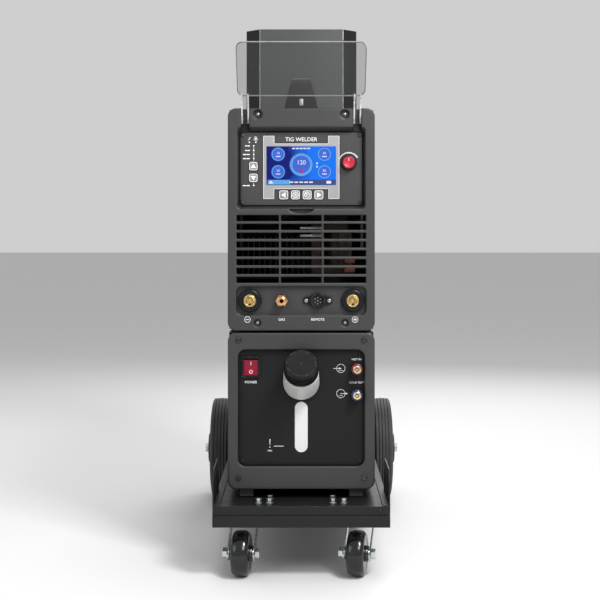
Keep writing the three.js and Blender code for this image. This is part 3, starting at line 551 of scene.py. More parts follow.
def add_text(name, words, x, z, y, size, finish):
    """Generic words or numbers, centred, on a fixed face that looks forward."""
    curve = bpy.data.curves.new(name, "FONT")
    curve.body = words
    curve.size = size * MM
    curve.align_x = "CENTER"
    curve.align_y = "CENTER"
    curve.extrude = MARK_THICKNESS * MM / 2
    curve.resolution_u = 3
    curve.materials.append(finish)
    text = new_object(name, curve)
    text.location = at(x, y + MARK_THICKNESS / 2, z)
    text.rotation_euler = (math.radians(90), 0, 0)
    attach(text, "root")


# ---- Fasteners ----
WASHER = 1.2
CROSS_REACH = 1.75
CROSS_ROOT = 0.36
CROSS_ARM = 12


def hex_bolt(across, height, washer):
    """A hexagon head, as wide across its flats as said, on a washer of the radius said."""
    corner = across / math.sqrt(3)
    head = revolve([(0, 0), (corner, 0), (corner, height - 0.8), (corner - 1, height), (0, height)], 6)
    disc = revolve([(0, 0), (washer - 0.3, 0), (washer, 0.3), (washer, WASHER - 0.3),
                    (washer - 0.3, WASHER), (0, WASHER)], 32)
    return gather([(head, Matrix.Translation(UP * WASHER * MM)), (disc, Matrix.Identity(4))])


def cross_drive(angle, radius, height):
    """Draws the two inner rings of a screw head in to a cross."""
    if radius > CROSS_REACH:
        return 1.0
    quarter = abs((math.degrees(angle) + 45) % 90 - 45)
    return 1.0 if quarter < CROSS_ARM else CROSS_ROOT


def pan_screw(radius, height):
    """A low domed screw with a cross in it."""
    depth = height * 0.55
    profile = [(0, height - depth), (CROSS_REACH - 0.35, height - depth), (CROSS_REACH, height - 0.1),
               (radius * 0.6, height), (radius * 0.85, height * 0.8), (radius, height * 0.35),
               (radius, 0), (0, 0)]
    return revolve(profile, 60, cross_drive)


def socket_screw(radius, height):
    """A cap screw with a hexagon socket."""
    key = radius * 0.5

    def hexagon(angle, r, _):
        if r > key:
            return 1.0
        return 0.9 / math.cos((angle % (math.pi / 3)) - math.pi / 6)

    profile = [(0, height * 0.35), (key, height * 0.4), (key, height - 0.1), (radius - 0.6, height),
               (radius, height - 0.6), (radius, 0), (0, 0)]
    return revolve(profile, 60, hexagon)


def add_fasteners(name, make, sizes, places, direction, finish, body="root"):
    """One piece of like fasteners: make(*sizes) gives one's mesh, at each of the places."""
    parts = [(make(*sizes), frame_at(place, direction)) for place in places]
    return add(name, gather(parts), finish, body)


# ---- CAD nodes: finish and soft edges ----
# Bevel widths in millimetres by node, without the side in its name.
EDGE_WIDTHS = {
    "inverter_bezel": 0.9, "cooler_bezel": 1.6, "inverter_rear_panel": 1.0, "carry_handle": 3.0,
    "base_frame": 0.8, "deck_pan": 0.8, "bottle_platform": 0.8, "bottle_cradle": 1.0,
    "inverter_case": 0.5, "cooler_case": 0.5, "castor_fork": 0.7, "castor_plate": 0.6,
    "coolant_tank": 0.8, "cooler_foot": 1.5, "control_panel": 0.3, "display": 0.3,
    "display_cover": 0.5, "main_switch": 1.2, "switch_rocker": 0.8, "switch_housing": 0.5,
    "cooler_panel": 0.3,
}
DEFAULT_EDGE = 0.4
EDGE_ANGLE = math.radians(34)


def modify(node, kind, **settings):
    configure(node.modifiers.new(kind.lower(), kind), settings)


def finish_cad_nodes():
    """Each node's finish, and a mesh without loose facets, with soft edges and even shading."""
    slots = {part["node"]: part["material_slot"] for part in frame["record"]["subparts"]}
    for name, node in NODES.items():
        mesh = node.data
        mesh.materials.clear()
        mesh.materials.append(OWN_FINISH.get(name) or FINISH[slots[name]])
        mesh.shade_smooth()
        modify(node, "WELD", merge_threshold=1e-6)
        modify(node, "DECIMATE", decimate_type="DISSOLVE", angle_limit=math.radians(0.5))
        kind = name.removesuffix("_left").removesuffix("_right")
        modify(node, "BEVEL", width=EDGE_WIDTHS.get(kind, DEFAULT_EDGE) * MM, segments=3,
               limit_method="ANGLE", angle_limit=EDGE_ANGLE, use_clamp_overlap=True)
        modify(node, "TRIANGULATE", min_vertices=5)
        modify(node, "WEIGHTED_NORMAL", mode="FACE_AREA", weight=100)
    split_cradle_lit_flat(NODES["bottle_cradle"].data)


def split_cradle_lit_flat(mesh):
    """The wings and edges keep the trolley's black paint; only the flat of the upright gets a lighter grey copy of
    it, a painted reflection of the light from above.
    """
    mesh.materials.append(FINISH["trolley_steel"])
    for face in mesh.polygons:
        if abs(face.normal.y) < 0.9:
            face.material_index = 1


# ---- Trolley ----
WHEEL_R = 107.0
WHEEL_Y = 602.0
TYRE_MIDDLE = 173.0
RIM_R = 62.0
RIM_FACE = 175.4
RIM_BOLT_CIRCLE = 42.0
DECK_TOP = 123.0
CRADLE_FRONT = 572.9
CRADLE_TOP = 1011.0
FOLD_X = 89.5


def tyre_profile():
    """Sidewalls with a bead and a shoulder, and a tread with grooves round it."""
    side = [(RIM_R, 16), (RIM_R + 3, 17.5), (RIM_R + 6, 17.2), (RIM_R + 12, 19), (RIM_R + 22, 20),
            (RIM_R + 23, 20.4), (RIM_R + 26, 20.4), (RIM_R + 27, 20), (WHEEL_R - 10, 19.2),
            (WHEEL_R - 5, 17.8), (WHEEL_R - 2, 15.8)]
    period = 6.6
    groove = 1.5
    depth = 2.2
    tread = []
    for rib in range(-2, 3):
        low, high = rib * period - (period - groove) / 2, rib * period + (period - groove) / 2
        crown = WHEEL_R - 0.35 * abs(rib) ** 1.5
        tread += [(crown - depth, low - 0.2), (crown - 0.5, low), (crown, low + 0.5),
                  (crown, high - 0.5), (crown - 0.5, high), (crown - depth, high + 0.2)]
    return [(radius, -out) for radius, out in side] + tread + side[::-1]


def rim_profile(side):
    profile = [(8.6, 148), (20, 148), (20, 166), (48, 168), (54, 163), (57, 156), (61.4, 155),
               (61.4, 191), (60, 191.6), (58.5, 190.5), (56.5, 183), (52, 178), (46, 176.2),
               (38, 175.6), (32, 177), (28, 181), (26.4, 188), (26.2, 194), (27.5, 195.8),
               (30.6, 196.2), (31, 197), (31, 199.6), (30.4, 200.4), (24, 200.4), (22.5, 199.4),
               (13, 199.4), (12, 200.4), (8.6, 200.4)]
    return [(radius, side * out) for radius, out in profile]


def add_rear_wheels():
    for name, side in SIDES:
        body = f"rear_wheel_{name}"
        centre = at(0, WHEEL_Y, WHEEL_R)
        tyre_centre = at(side * TYRE_MIDDLE, WHEEL_Y, WHEEL_R)
        add_turned(f"ribbed_tyre_{name}", tyre_profile(), tyre_centre, RIGHT, "tyre", body,
                   f"rear_tyre_{name}", 128)
        add_turned(f"pressed_rim_{name}", rim_profile(side), centre, RIGHT, "wheel_plastic", body,
                   f"rear_rim_{name}", 96)
        bolts = [at(side * RIM_FACE, WHEEL_Y + RIM_BOLT_CIRCLE * math.sin(angle),
                    WHEEL_R + RIM_BOLT_CIRCLE * math.cos(angle)) for angle in circle(5)]
        add_fasteners(f"rim_bolts_{name}", hex_bolt, (10, 4, 7.5), bolts, RIGHT * side,
                      "zinc_steel", body)


CASTOR_AXLE_WASHER = 19.5
CASTOR_SWIVEL = (98.4, -6.4)
CASTOR_PLATE_BOTTOM = 100.9
CASTOR_BOLTS = [(x, y) for x in (-46, 29) for y in (-33, 33)]
CASTOR_TREAD = [(5.4, -19.4), (12.6, -19.4), (13.2, -18.6), (13.4, -14.2), (22, -13.4), (26, -14),
                (30, -14.9), (33.2, -14.2), (35.6, -12), (37.2, -8.2), (37.9, -4), (38, 0)]


def add_castors():
    profile = CASTOR_TREAD + [(radius, -out) for radius, out in reversed(CASTOR_TREAD[:-1])]
    for name, side in SIDES:
        roll = JOINTS[f"castor_roll_{name}"]
        centre = Vector(roll["pos_m"])
        axis = Vector(roll["axis"])
        body = f"castor_wheel_{name}"
        add_turned(f"solid_wheel_{name}", profile, centre, axis, "castor_tread", body,
                   f"castor_wheel_{name}", 96)
        for end, turn in (("nut", 1), ("head", -1)):
            washer = revolve([(5.4, 0), (9.8, 0), (10, 0.4), (10, 1.4), (9.8, 1.8), (5.4, 1.8)], 40)
            outside = centre + axis * turn * CASTOR_AXLE_WASHER * MM
            washer.transform(frame_at(outside, axis * turn))
            add(f"castor_{end}_washer_{name}", washer, "zinc_steel", f"castor_fork_{name}")
        swivel_x, swivel_y = CASTOR_SWIVEL
        corners = [at(side * (swivel_x + x), swivel_y + y, CASTOR_PLATE_BOTTOM)
                   for x, y in CASTOR_BOLTS]
        add_fasteners(f"castor_plate_bolts_{name}", hex_bolt, (11, 5, 7.5), corners, -UP,
                      "zinc_steel")


def draw_cradle_fold_highlights(bm):
    """Painted highlights: light lines where the cradle's wings fold back."""
    for _, side in SIDES:
        ink_line(bm, (side * FOLD_X, DECK_TOP + 2), (side * FOLD_X, CRADLE_TOP), 1.1, CRADLE_FRONT)


def add_trolley_fasteners():
    spots = [(53, -33), (71.5, -33), (53, -9)]
    stack = [at(side * x, y, DECK_TOP) for _, side in SIDES for x, y in spots]
    add_fasteners("deck_bolts", hex_bolt, (9.5, 7, 6.8), stack, UP, "zinc_steel")
    cheek = [at(131, -60, 115)]
    add_fasteners("cheek_screw", pan_screw, (3.4, 2.2), cheek, FORWARD, BLACK_SCREW)
    foot = [at(x, 561, DECK_TOP + 2.3) for x in (-70, -25, 25, 70)]
    add_fasteners("cradle_bolts", hex_bolt, (13, 6, 9), foot, UP, "zinc_steel")
    flange = [at(x, 588.6, 96) for x in (-115, -60, 60, 115)]
    add_fasteners("platform_bolts", hex_bolt, (10, 5, 7), flange, BACKWARD, "zinc_steel")


# ---- Water cooler ----
PANEL_Y = 8.3
PANEL_PRINT = PANEL_Y - 0.2
FILLER_TILT = math.radians(38)
FILLER_AXIS = Vector((0, -math.cos(FILLER_TILT), math.sin(FILLER_TILT)))
FILLER_BASE = at(0, 8, 314.3)
SWITCH_PLACE = (-86.0, 346.0)
SWITCH_PIVOT_Y = 13.0
COUPLING_X = 94.4
HOT_Z = 343.7
COLD_Z = 299.7
FLOW_SIGN_X = 67.5
LEVEL_MARK_X = -53.6
KNURL_R = 27.4
KNURL_HEIGHTS = (45, 65)


def wave(angle, count):
    """A smooth wave from 0 to 1, with count crests round a circle."""
    return 0.5 + 0.5 * math.cos(count * angle)


def cap_ripple(angle, radius, height):
    low, high = KNURL_HEIGHTS
    if radius < KNURL_R or not low < height < high:
        return 1.0
    return 1.0 - 0.022 * wave(angle, 40) ** 2


def add_filler():
    profile = [(0, 52.9), (25.9, 52.9), (25.9, 44), (28.4, 44), (29, 45), (29, 47), (29, 55),
               (29, 62.5), (28.6, 64.5), (27.4, 69), (26.8, 70.6), (25.4, 71.8), (24, 71.8),
               (23.4, 71.2), (22.8, 70.6), (1.6, 70.4), (1.2, 71), (0, 71.2)]
    add_turned("knurled_cap", profile, FILLER_BASE, FILLER_AXIS, "black_plastic", "tank_cap",
               "tank_cap", 240, cap_ripple)
    add_turned("neck_thread", [(25.2, 42.2), (26.6, 42.4), (26.6, 43.4), (25.2, 43.6)], FILLER_BASE,
               FILLER_AXIS, "tank_plastic")


def add_couplings():
    """Quick couplings: a threaded body with a sprung valve in its bore, in a coloured sleeve."""
    body = [(3.6, -13), (5.6, -13), (6.4, -12.6), (6.8, -12), (6.8, -10.4), (6.0, -10), (6.0, 29.6),
            (0, 29.6), (0, 22), (3.6, 22)]
    valve = [(0, -11.6), (1.7, -11.4), (2.3, -10.6), (2.3, 18), (0, 18)]
    seat = [(3.6, -12.9), (5.2, -13.1), (5.2, -12.9), (3.7, -12.6)]
    sleeve = [(6.3, -9.6), (8.2, -9.6), (9.2, -9), (9.6, -7.8), (9.6, -6), (8.9, -5.4), (8.9, -4.6),
              (9.6, -4), (9.6, -1), (9.0, -0.2), (8.4, 0), (6.3, 0)]

    def knurl(angle, radius, _):
        return 1 - 0.03 * wave(angle, 30) if radius > 9.4 else 1.0

    def lobes(angle, radius, _):
        return 1 - 0.3 * wave(angle, 3) if radius > 2 else 1.0

    for name, z, finish in (("hot", HOT_Z, DARK_RED), ("cold", COLD_Z, DARK_BLUE)):
        place = at(COUPLING_X, 0, z)
        there = frame_at(place, BACKWARD)
        nut = revolve([(6.0, 4), (9, 4), (9, 8), (6.0, 8)], 6)
        parts = [(revolve(body, 48), there), (nut, there), (revolve(valve, 36, lobes), there)]
        add(f"{name}_coupling_body", gather(parts), "brass", "root", f"{name}_coupling")
        add_turned(f"{name}_valve_seat", seat, place, BACKWARD, SCREW_STEEL)
        add_turned(f"{name}_sleeve", sleeve, place, BACKWARD, finish, f"{name}_collar",
                   f"{name}_collar", 180, knurl)


def draw_flow_symbols(bm):
    """A circle with an arrow beside each coupling: into it for hot, out of it for cold."""
    x, y = FLOW_SIGN_X, PANEL_PRINT
    for z, inward in ((HOT_Z, True), (COLD_Z + 1, False)):
        ink_ring(bm, x, z, 6.9, 7.4, y)
        tail, tip = (x - 13, x + 1) if inward else (x - 1, x + 12)
        ink_line(bm, (tail, z), (tip - 2, z), 0.6, y)
        ink_polygon(bm, [(tip, z), (tip - 4, z + 1.7), (tip - 4, z - 1.7)], y)
        ink_line(bm, (x - 3.4, z - 3.4), (x + 3.4, z - 3.4), 0.5, y)


def draw_level_mark(bm):
    """The lowest-level mark beside the window: a stroke with a dot, and a line to the window."""
    x, y = LEVEL_MARK_X, PANEL_PRINT
    ink_polygon(bm, [(x - 0.7, 223), (x + 0.7, 223), (x + 0.3, 213), (x - 0.3, 213)], y)
    ink_disc(bm, x, 209.4, 0.9, y, 20)
    ink_line(bm, (-47, 211), (-30, 211), 0.8, y)


def add_cooler_details():
    add_filler()
    add_couplings()
    corners = pairs(107, 0.4, 158, 393)
    add_fasteners("cooler_bezel_screws", socket_screw, (4.6, 2.6), corners, FORWARD, BLACK_SCREW)
    inner = pairs(100, PANEL_Y, 186, 368)
    add_fasteners("cooler_panel_screws", pan_screw, (2.6, 1.6), inner, FORWARD, DARK)
    add_marks("flow_symbols", draw_flow_symbols, PRINT)
    add_marks("level_mark", draw_level_mark, PRINT)
    for name, words, x, z, size in (("level_word", "MIN", LEVEL_MARK_X, 203, 4.4),
                                    ("switch_word", "POWER", SWITCH_PLACE[0], 320, 6.0),
                                    ("hot_word", "HOT IN", COUPLING_X, 359, 4.8),
                                    ("cold_word", "COLD OUT", COUPLING_X, 319.5, 4.8)):
        add_text(name, words, x, z, PANEL_PRINT, size, PRINT)
    add_rocker_marks()


def add_rocker_marks():
    """I and O, one on each slope of the rocker, standing just proud of it."""
    rise, run, ridge, proud = 3.4, 13.6, -5.0, 0.3
    pivot = Matrix.Translation(at(SWITCH_PLACE[0], SWITCH_PIVOT_Y, SWITCH_PLACE[1]))
    pivot @= Matrix.Rotation(math.radians(6), 4, "X")
    bar = prism(rounded_outline(1.0, 6.6, 0.3, 2), proud)
    ring = revolve([(2.2, 0), (3.0, 0), (3.0, proud), (2.2, proud)], 40)
    for name, bm, slope_z in (("rocker_on_mark", bar, 7.2), ("rocker_off_mark", ring, -7.2)):
        lean = math.copysign(math.atan2(rise, run), slope_z)
        local = Matrix.Translation((0, (ridge - rise * abs(slope_z) / run) * MM, slope_z * MM))
        bm.transform(pivot @ local @ Matrix.Rotation(math.radians(90) + lean, 4, "X"))
        add(name, bm, PRINT, "switch_rocker")


# ---- Inverter ----
PLATE_Y = 12.0
FRAME_Y = 10.7
SCREEN_MIDDLE_Z = 691.7
SOCKET_Z = 459.6
SOCKET_X = 87.8
GAS_X = -33.5
CONTROL_X = 28.0
PIN_CIRCLE = 5.6
KNOB_X = 80.8
KNOB_Z = 694.9
PANEL_INK = PLATE_Y - 0.15
FRONT_INK = -0.15
FRONT_WORDS_Z = 427.6
POLARITY_X = 91.5
LAMP_X = -81.4
# Height of each lamp in the column, and the width of its caption.
LAMP_ROWS = ((723.8, 9), (716, 9), (709, 13), (702, 13), (655.9, 13))
TRIGGER_LAMPS = ((-89, 730), (-78, 730))
KEY_Y = PLATE_Y - 1.7
KEY_ROW_Z = 640.0
KEY_ROW_SIZE = 15.6
KEY_PITCH = 20
KEY_COLUMN_X = -81.9
KEY_COLUMN_SIZE = 14.7
SCREEN_BAR_Z = 661.6
DIALS = [(x, z) for x in (-39.5, 39.5) for z in (709.4, 679.4)]
DIAL_VALUES = ("10", "20", "50", "80")


def add_welding_sockets():
    collar = [(11.8, -1), (16.6, -1), (17.6, -0.7), (19.2, 0.8), (19.5, 1.6), (19.5, 5.6), (14.5, 5.7),
              (14.5, 39.8), (11.8, 39.8)]
    contact = [(0, 44), (11.4, 44), (11.5, 43), (11.5, 2.6), (11.0, 1.5), (10.2, 1.0), (9.6, 1),
               (9.3, 2.2), (8.8, 2.2), (8.5, 1), (7.9, 1), (7.0, 1.8), (6.5, 3.4), (6.5, 37), (0, 37)]

    spring = [(0, 14), (2.2, 13.4), (2.6, 14), (5.4, 14.4), (6.3, 13), (6.4, 30), (0, 30)]

    def keyway(angle, radius, height):
        """A slot at the top of the bore, for the plug's key."""
        at_top = abs(math.degrees(angle) - 90) < 14
        return 1.38 if at_top and radius < 7.8 and 0 < height < 30 else 1.0

    for name, x in (("minus", -SOCKET_X), ("plus", SOCKET_X)):
        place = at(x, 0, SOCKET_Z)
        add_turned(f"{name}_collar", collar, place, BACKWARD, "black_plastic", "root",
                   f"{name}_socket", 96)
        brass = revolve(contact, 96, keyway)
        brass.transform(Matrix.Translation(place) @ FACE_FRONT.inverted())
        add(f"{name}_brass", brass, "brass", "root", f"{name}_contact")
        # The contact's insert deep in the bore is darker brass: painted shade.
        add_turned(f"{name}_contact_spring", spring, place, BACKWARD, BORE_SHADE_BRASS, segments=40)


def add_gas_outlet():
    """A threaded nipple through a hexagon nut."""
    there = frame_at(at(GAS_X, 0, SOCKET_Z), BACKWARD)
    nut = revolve([(7, -3), (9.4, -3), (10.5, -2.2), (10.5, 4.9), (9.4, 5.7), (7, 5.7)], 6)
    thread = [(3.2, -13), (5.8, -13)]
    pitch = 1.5
    for turn in range(6):
        start = -12.4 + turn * pitch
        thread += [(6.9, start), (7.7, start + pitch * 0.45), (6.9, start + pitch * 0.9)]
    thread += [(6.8, -3), (6.8, 29.8), (3.2, 29.8)]
    nipple = gather([(nut, there), (revolve(thread, 48), there)])
    add("gas_nipple", nipple, COPPER_BRASS, "root", "gas_outlet")


def add_control_socket():
    """A threaded shell round a ring of pins with one in the middle, on a flange with two screws."""
    place = at(CONTROL_X, 0, SOCKET_Z)
    shell = [(9.6, -1.6), (11.4, -1.6), (12, -1.1), (12, -0.4), (11.4, 0), (12, 0.4), (12, 1.2),
             (11.4, 1.6), (12, 2), (12, 3), (10, 3.2), (9.6, 3.2)]
    add_turned("control_shell", shell, place, BACKWARD, "black_plastic")
    insert = [(0, 3.4), (9.3, 3.4), (9.4, 4.9), (0, 4.9)]
    add_turned("control_insert", insert, place, BACKWARD, DARK)
    pins = [place]
    for angle in circle(6):
        turned = angle + math.pi / 6
        pins.append(place + Vector((math.cos(turned), 0, math.sin(turned))) * PIN_CIRCLE * MM)
    parts = [(revolve([(0, 0.2), (0.8, 0.4), (1.1, 1), (1.1, 3.6), (0, 3.6)], 20),
              frame_at(pin, BACKWARD)) for pin in pins]
    add("control_pins", gather(parts), SCREW_STEEL)
    ears = [at(CONTROL_X + side * 19.6, 3.5, SOCKET_Z) for _, side in SIDES]
    add_fasteners("control_flange_screws", pan_screw, (3.4, 2), ears, FORWARD, SCREW_STEEL)


def add_knob():
    skirt = [(0, 8.2), (10.7, 8.2), (12.4, 8.6), (13, 9.4), (13, 11.4), (12.6, 11.7), (3, 11.7),
             (3, 19.8), (0, 19.8)]
    grip = [(0, -0.1), (7.6, -0.1), (8.2, -0.4), (9.2, -0.3), (10.1, 0.4), (10.5, 1.6), (10.5, 8.1),
            (0, 8.1)]

    def flutes(angle, radius, _):
        return 1 - 0.045 * wave(angle, 18) if radius > 10 else 1.0

    place = at(KNOB_X, 0, KNOB_Z)
    add_turned("knob_skirt", skirt, place, BACKWARD, "black_plastic", "parameter_knob")
    add_turned("knob_grip", grip, place, BACKWARD, "red_plastic", "parameter_knob",
               "parameter_knob", 144, flutes)

    def pointer(bm):
        ink_line(bm, (KNOB_X, KNOB_Z + 2.5), (KNOB_X, KNOB_Z + 7.4), 1.0, -0.25)

    add_marks("knob_pointer", pointer, PRINT_GREY, "parameter_knob")


def draw_panel_marks(bm):
    """Generic marks in place of words: lamp captions as bars, link lines and the knob's arc."""
    y = PANEL_INK
    for z, width in LAMP_ROWS:
        for part in (0.26, 0.74):
            ink_box(bm, -87.5 - width * (1 - part), z, width * 0.42, 1.7, y)
    for high, low in ((724, 697.6), (661.5, 656)):
        ink_line(bm, (LAMP_X, high), (LAMP_X, low), 0.5, y)
    for step in range(13):
        start = 30 + step * 10
        ink_ring(bm, KNOB_X, KNOB_Z, 16.4, 18.8 - 0.1 * step, y, start, start + 7, 6)
    # Two-stroke and four-stroke trigger signs over the lamps.
    ink_line(bm, (-91, 734.5), (-88.6, 734.5), 0.7, y)
    ink_line(bm, (-88.9, 734.2), (-88.9, 738), 0.7, y)
    ink_line(bm, (-89, 737.7), (-86, 737.7), 0.7, y)
    for x in (-79.6, -76.4):
        ink_ring(bm, x, 735, 1.1, 1.7, y)
    ink_ring(bm, -78, 738.4, 1.1, 1.7, y)


def add_lamps():
    """The indicator lamps, as low domes on the control plate."""
    parts = []
    for x, z in [(LAMP_X, z) for z, _ in LAMP_ROWS] + list(TRIGGER_LAMPS):
        dome = revolve([(0, 1.3), (0.8, 1.1), (1.3, 0.5), (1.4, 0), (0, 0)], 24)
        parts.append((dome, frame_at(at(x, PLATE_Y, z), FORWARD)))
    add("lamps", gather(parts), LAMP)


def add_key_icons():
    """A light outline and a symbol on each key."""
    def outline(bm, x, z, size):
        half = size / 2 - 0.9
        corner = 2.4
        for turn in range(4):
            c, d = math.cos(turn * math.pi / 2), math.sin(turn * math.pi / 2)
            run = half - corner
            ink_line(bm, (x + half * c - run * d, z + half * d + run * c),
                     (x + half * c + run * d, z + half * d - run * c), 0.8, KEY_Y)
            cx, cz = x + run * (c - d), z + run * (c + d)
            ink_ring(bm, cx, cz, corner - 0.4, corner + 0.4, KEY_Y, 90 * turn, 90 * turn + 90, 8)

    def triangle(dx, dz):
        def draw(bm, x, z):
            base_x, base_z = x - dx * 3, z - dz * 3
            ink_polygon(bm, [(x + dx * 4, z + dz * 4), (base_x - dz * 4.4, base_z + dx * 4.4),
                             (base_x + dz * 4.4, base_z - dx * 4.4)], KEY_Y)
        return draw

    def menu(bm, x, z):
        ink_ring(bm, x, z, 4.2, 5.0, KEY_Y)
        for step in (-1.8, 0, 1.8):
            ink_line(bm, (x - 2.2, z + step), (x + 2.2, z + step), 0.8, KEY_Y)

    def mode(bm, x, z):
        ink_ring(bm, x, z, 4.2, 5.0, KEY_Y, 60, 240, 24)
        ink_ring(bm, x, z, 4.2, 5.0, KEY_Y, 270, 390, 18)
        ink_line(bm, (x - 3.4, z - 3.4), (x + 3.4, z + 3.4), 0.9, KEY_Y)
        ink_disc(bm, x - 1.9, z + 1.9, 1.2, KEY_Y, 20)

    def add_icon(key, x, z, size, symbol):
        def draw(bm):
            outline(bm, x, z, size)
            symbol(bm, x, z)

        add_marks(f"{key}_icon", draw, PRINT, key)

    row = (("key_back", triangle(-1, 0)), ("key_menu", menu), ("key_mode", mode),
           ("key_forward", triangle(1, 0)))
    for place, (key, symbol) in enumerate(row):
        add_icon(key, -30 + place * KEY_PITCH, KEY_ROW_Z, KEY_ROW_SIZE, symbol)
    for key, z, symbol in (("key_up", 689.1, triangle(0, 1)), ("key_down", 669.1, triangle(0, -1))):
        add_icon(key, KEY_COLUMN_X, z, KEY_COLUMN_SIZE, symbol)


def add_screen():
    width, height = SCREEN_X[1] - SCREEN_X[0], SCREEN_Z[1] - SCREEN_Z[0]
    middle = at(0, FRAME_Y, (SCREEN_Z[0] + SCREEN_Z[1]) / 2)
    ground = prism(rounded_outline(width, height, 1.2), 0.4, 0.1, 1)
    ground.transform(Matrix.Translation(middle) @ FACE_FRONT)
    add("screen_ground", ground, SCREEN_GLOW)
    layer = FRAME_Y - 0.5
    upper_layer = layer - 0.24

    def bar(bm):
        ink_box(bm, 0, SCREEN_BAR_Z, width - 1, 9.2, layer, 0.6)

    def pools(bm):
        ink_disc(bm, 0, SCREEN_MIDDLE_Z, 15.4, layer, 64)
        for x, z in DIALS:
            ink_disc(bm, x, z, 10, layer)

    def rings(bm):
        y = layer - 0.12
        ink_ring(bm, 0, SCREEN_MIDDLE_Z, 15.2, 19.2, y, steps=96)
        for x, z in DIALS:
            ink_ring(bm, x, z, 9.7, 11.2, y)
        ink_box(bm, -38, SCREEN_BAR_Z, 38, 7.6, y, 0.6)

    def halos(bm):
        ink_ring(bm, 0, SCREEN_MIDDLE_Z, 19.6, 20.6, layer, steps=96)
        for angle in circle(40):
            c, s = math.cos(angle), math.sin(angle)
            ink_line(bm, (16.2 * c, SCREEN_MIDDLE_Z + 16.2 * s), (18 * c, SCREEN_MIDDLE_Z + 18 * s),
                     0.5, upper_layer)
        for x, z in DIALS:
            ink_ring(bm, x, z, 11.6, 12.1, layer)

    def captions(bm):
        y = upper_layer
        for x, z in DIALS:
            ink_box(bm, x, z - 3.8, 8, 1.5, y)
        for part in range(5):
            ink_box(bm, -13 + part * 6.4, 719.3, 5.2, 2.1, y)
            ink_box(bm, -17 + part * 8.4, SCREEN_BAR_Z, 6.4, 2.2, y)
        ink_polygon(bm, [(-56, 659.4), (-48, 659.4), (-51, 663.8), (-53, 663.8)], y)
        ink_box(bm, 47, SCREEN_BAR_Z, 8, 4.6, y, 1)
        for z in (694, 688.2):
            ink_box(bm, 27, z, 2.6, 2.6, y, 0.4)

    def drop(bm):
        ink_polygon(bm, [(0, 685.6), (-3, 680.6), (-2.1, 678), (0, 677.2), (2.1, 678), (3, 680.6)],
                    upper_layer)

    for draw, glow in ((bar, GLOW["deep"]), (pools, GLOW["blue"]), (rings, GLOW["cyan"]),
                       (halos, GLOW["halo"]), (captions, GLOW["white"]), (drop, GLOW["red"])):
        add_marks(f"screen_{draw.__name__}", draw, glow)
    text_layer = layer - 0.3
    add_text("screen_value", "120", 0, SCREEN_MIDDLE_Z + 3.4, text_layer, 10.5, GLOW["white"])
    for number, (x, z) in zip(DIAL_VALUES, DIALS):
        add_text(f"screen_value_{number}", number, x, z + 1.8, text_layer, 5.6, GLOW["white"])


def draw_frame_border(bm):
    """A fine light line round the notched screen frame."""
    inset = 0.8
    half, notch = 65.4 - inset, 45.9 + inset
    low, high = 632.7 + inset, 741.2 - inset
    right = [(notch, 649.7 + inset), (notch, low), (half, low), (half, high), (notch, high),
             (notch, 728 - inset)]
    corners = right + [(-x, z) for x, z in reversed(right)]
    for start, end in zip(corners, corners[1:] + corners[:1]):
        ink_line(bm, start, end, 0.9, FRAME_Y - 0.1)


def draw_polarity(bm):
    """Minus and plus signs in rings, under the welding sockets."""
    y, z = FRONT_INK, FRONT_WORDS_Z
    for x in (-POLARITY_X, POLARITY_X):
        ink_ring(bm, x, z, 4.5, 5.2, y)
        ink_line(bm, (x - 2.9, z), (x + 2.9, z), 1.0, y)
    for low, high in ((-2.9, -0.6), (0.6, 2.9)):
        ink_line(bm, (POLARITY_X, z + low), (POLARITY_X, z + high), 1.0, y)


def add_grille_contents():
    """What shows between the grille's bars, besides the coil: bus bars and resin blocks."""
    for name, y, z in (("bus_bar_upper", 46, 583.5), ("bus_bar_lower", 50, 570)):
        bar = prism(rounded_outline(38, 4, 1), 14, 0.4)
        bar.transform(Matrix.Translation(at(17, y, z)) @ FACE_FRONT)
        add(name, bar, "aluminium")
    for name, z in (("resin_block_upper", 527), ("resin_block_lower", 511)):
        block = prism(rounded_outline(18, 9, 2), 26, 0.8)
        block.transform(Matrix.Translation(at(84, 66, z)) @ FACE_FRONT)
        add(name, block, ORANGE)


def add_inverter_details():
    add_welding_sockets()
    add_gas_outlet()
    add_control_socket()
    add_knob()
    add_lamps()
    add_key_icons()
    add_screen()
    add_grille_contents()
    add_marks("panel_marks", draw_panel_marks, PRINT)
    add_marks("screen_frame_border", draw_frame_border, PRINT_GREY)
    add_text("title_word", "TIG WELDER", 0, 734.6, PANEL_INK, 9.5, PRINT)
    add_marks("polarity_marks", draw_polarity, PRINT)
    add_text("gas_word", "GAS", GAS_X, FRONT_WORDS_Z, FRONT_INK, 6.0, PRINT)
    add_text("remote_word", "REMOTE", CONTROL_X, FRONT_WORDS_Z, FRONT_INK, 6.0, PRINT)
    for name, size, places, finish in (
            ("upper_bezel_screws", (2.9, 3.0), pairs(74, 5.8, 777), DULL_SCREW),
            ("lower_bezel_screws", (2.7, 2.6), pairs(74.5, 4.8, 422), DULL_SCREW),
            ("control_plate_screws", (3.0, 1.8), pairs(100, PLATE_Y, 627.4, 741.6), BLACK_SCREW)):
        add_fasteners(name, pan_screw, size, places, FORWARD, finish)


# ---- Clear cover, handle plate and sheet covers ----
COVER_HINGE = (0, 6, 763)
COVER_LEAN = math.radians(34.6)
SHEET_MIDDLE = (0, 10.4, 97.4)
SHEET_SIZE = (216.4, 101.6)
SHEET_CORNER = 12.2
SHEET_RIM = 1.3
SHEET_DEPTH = 2.8
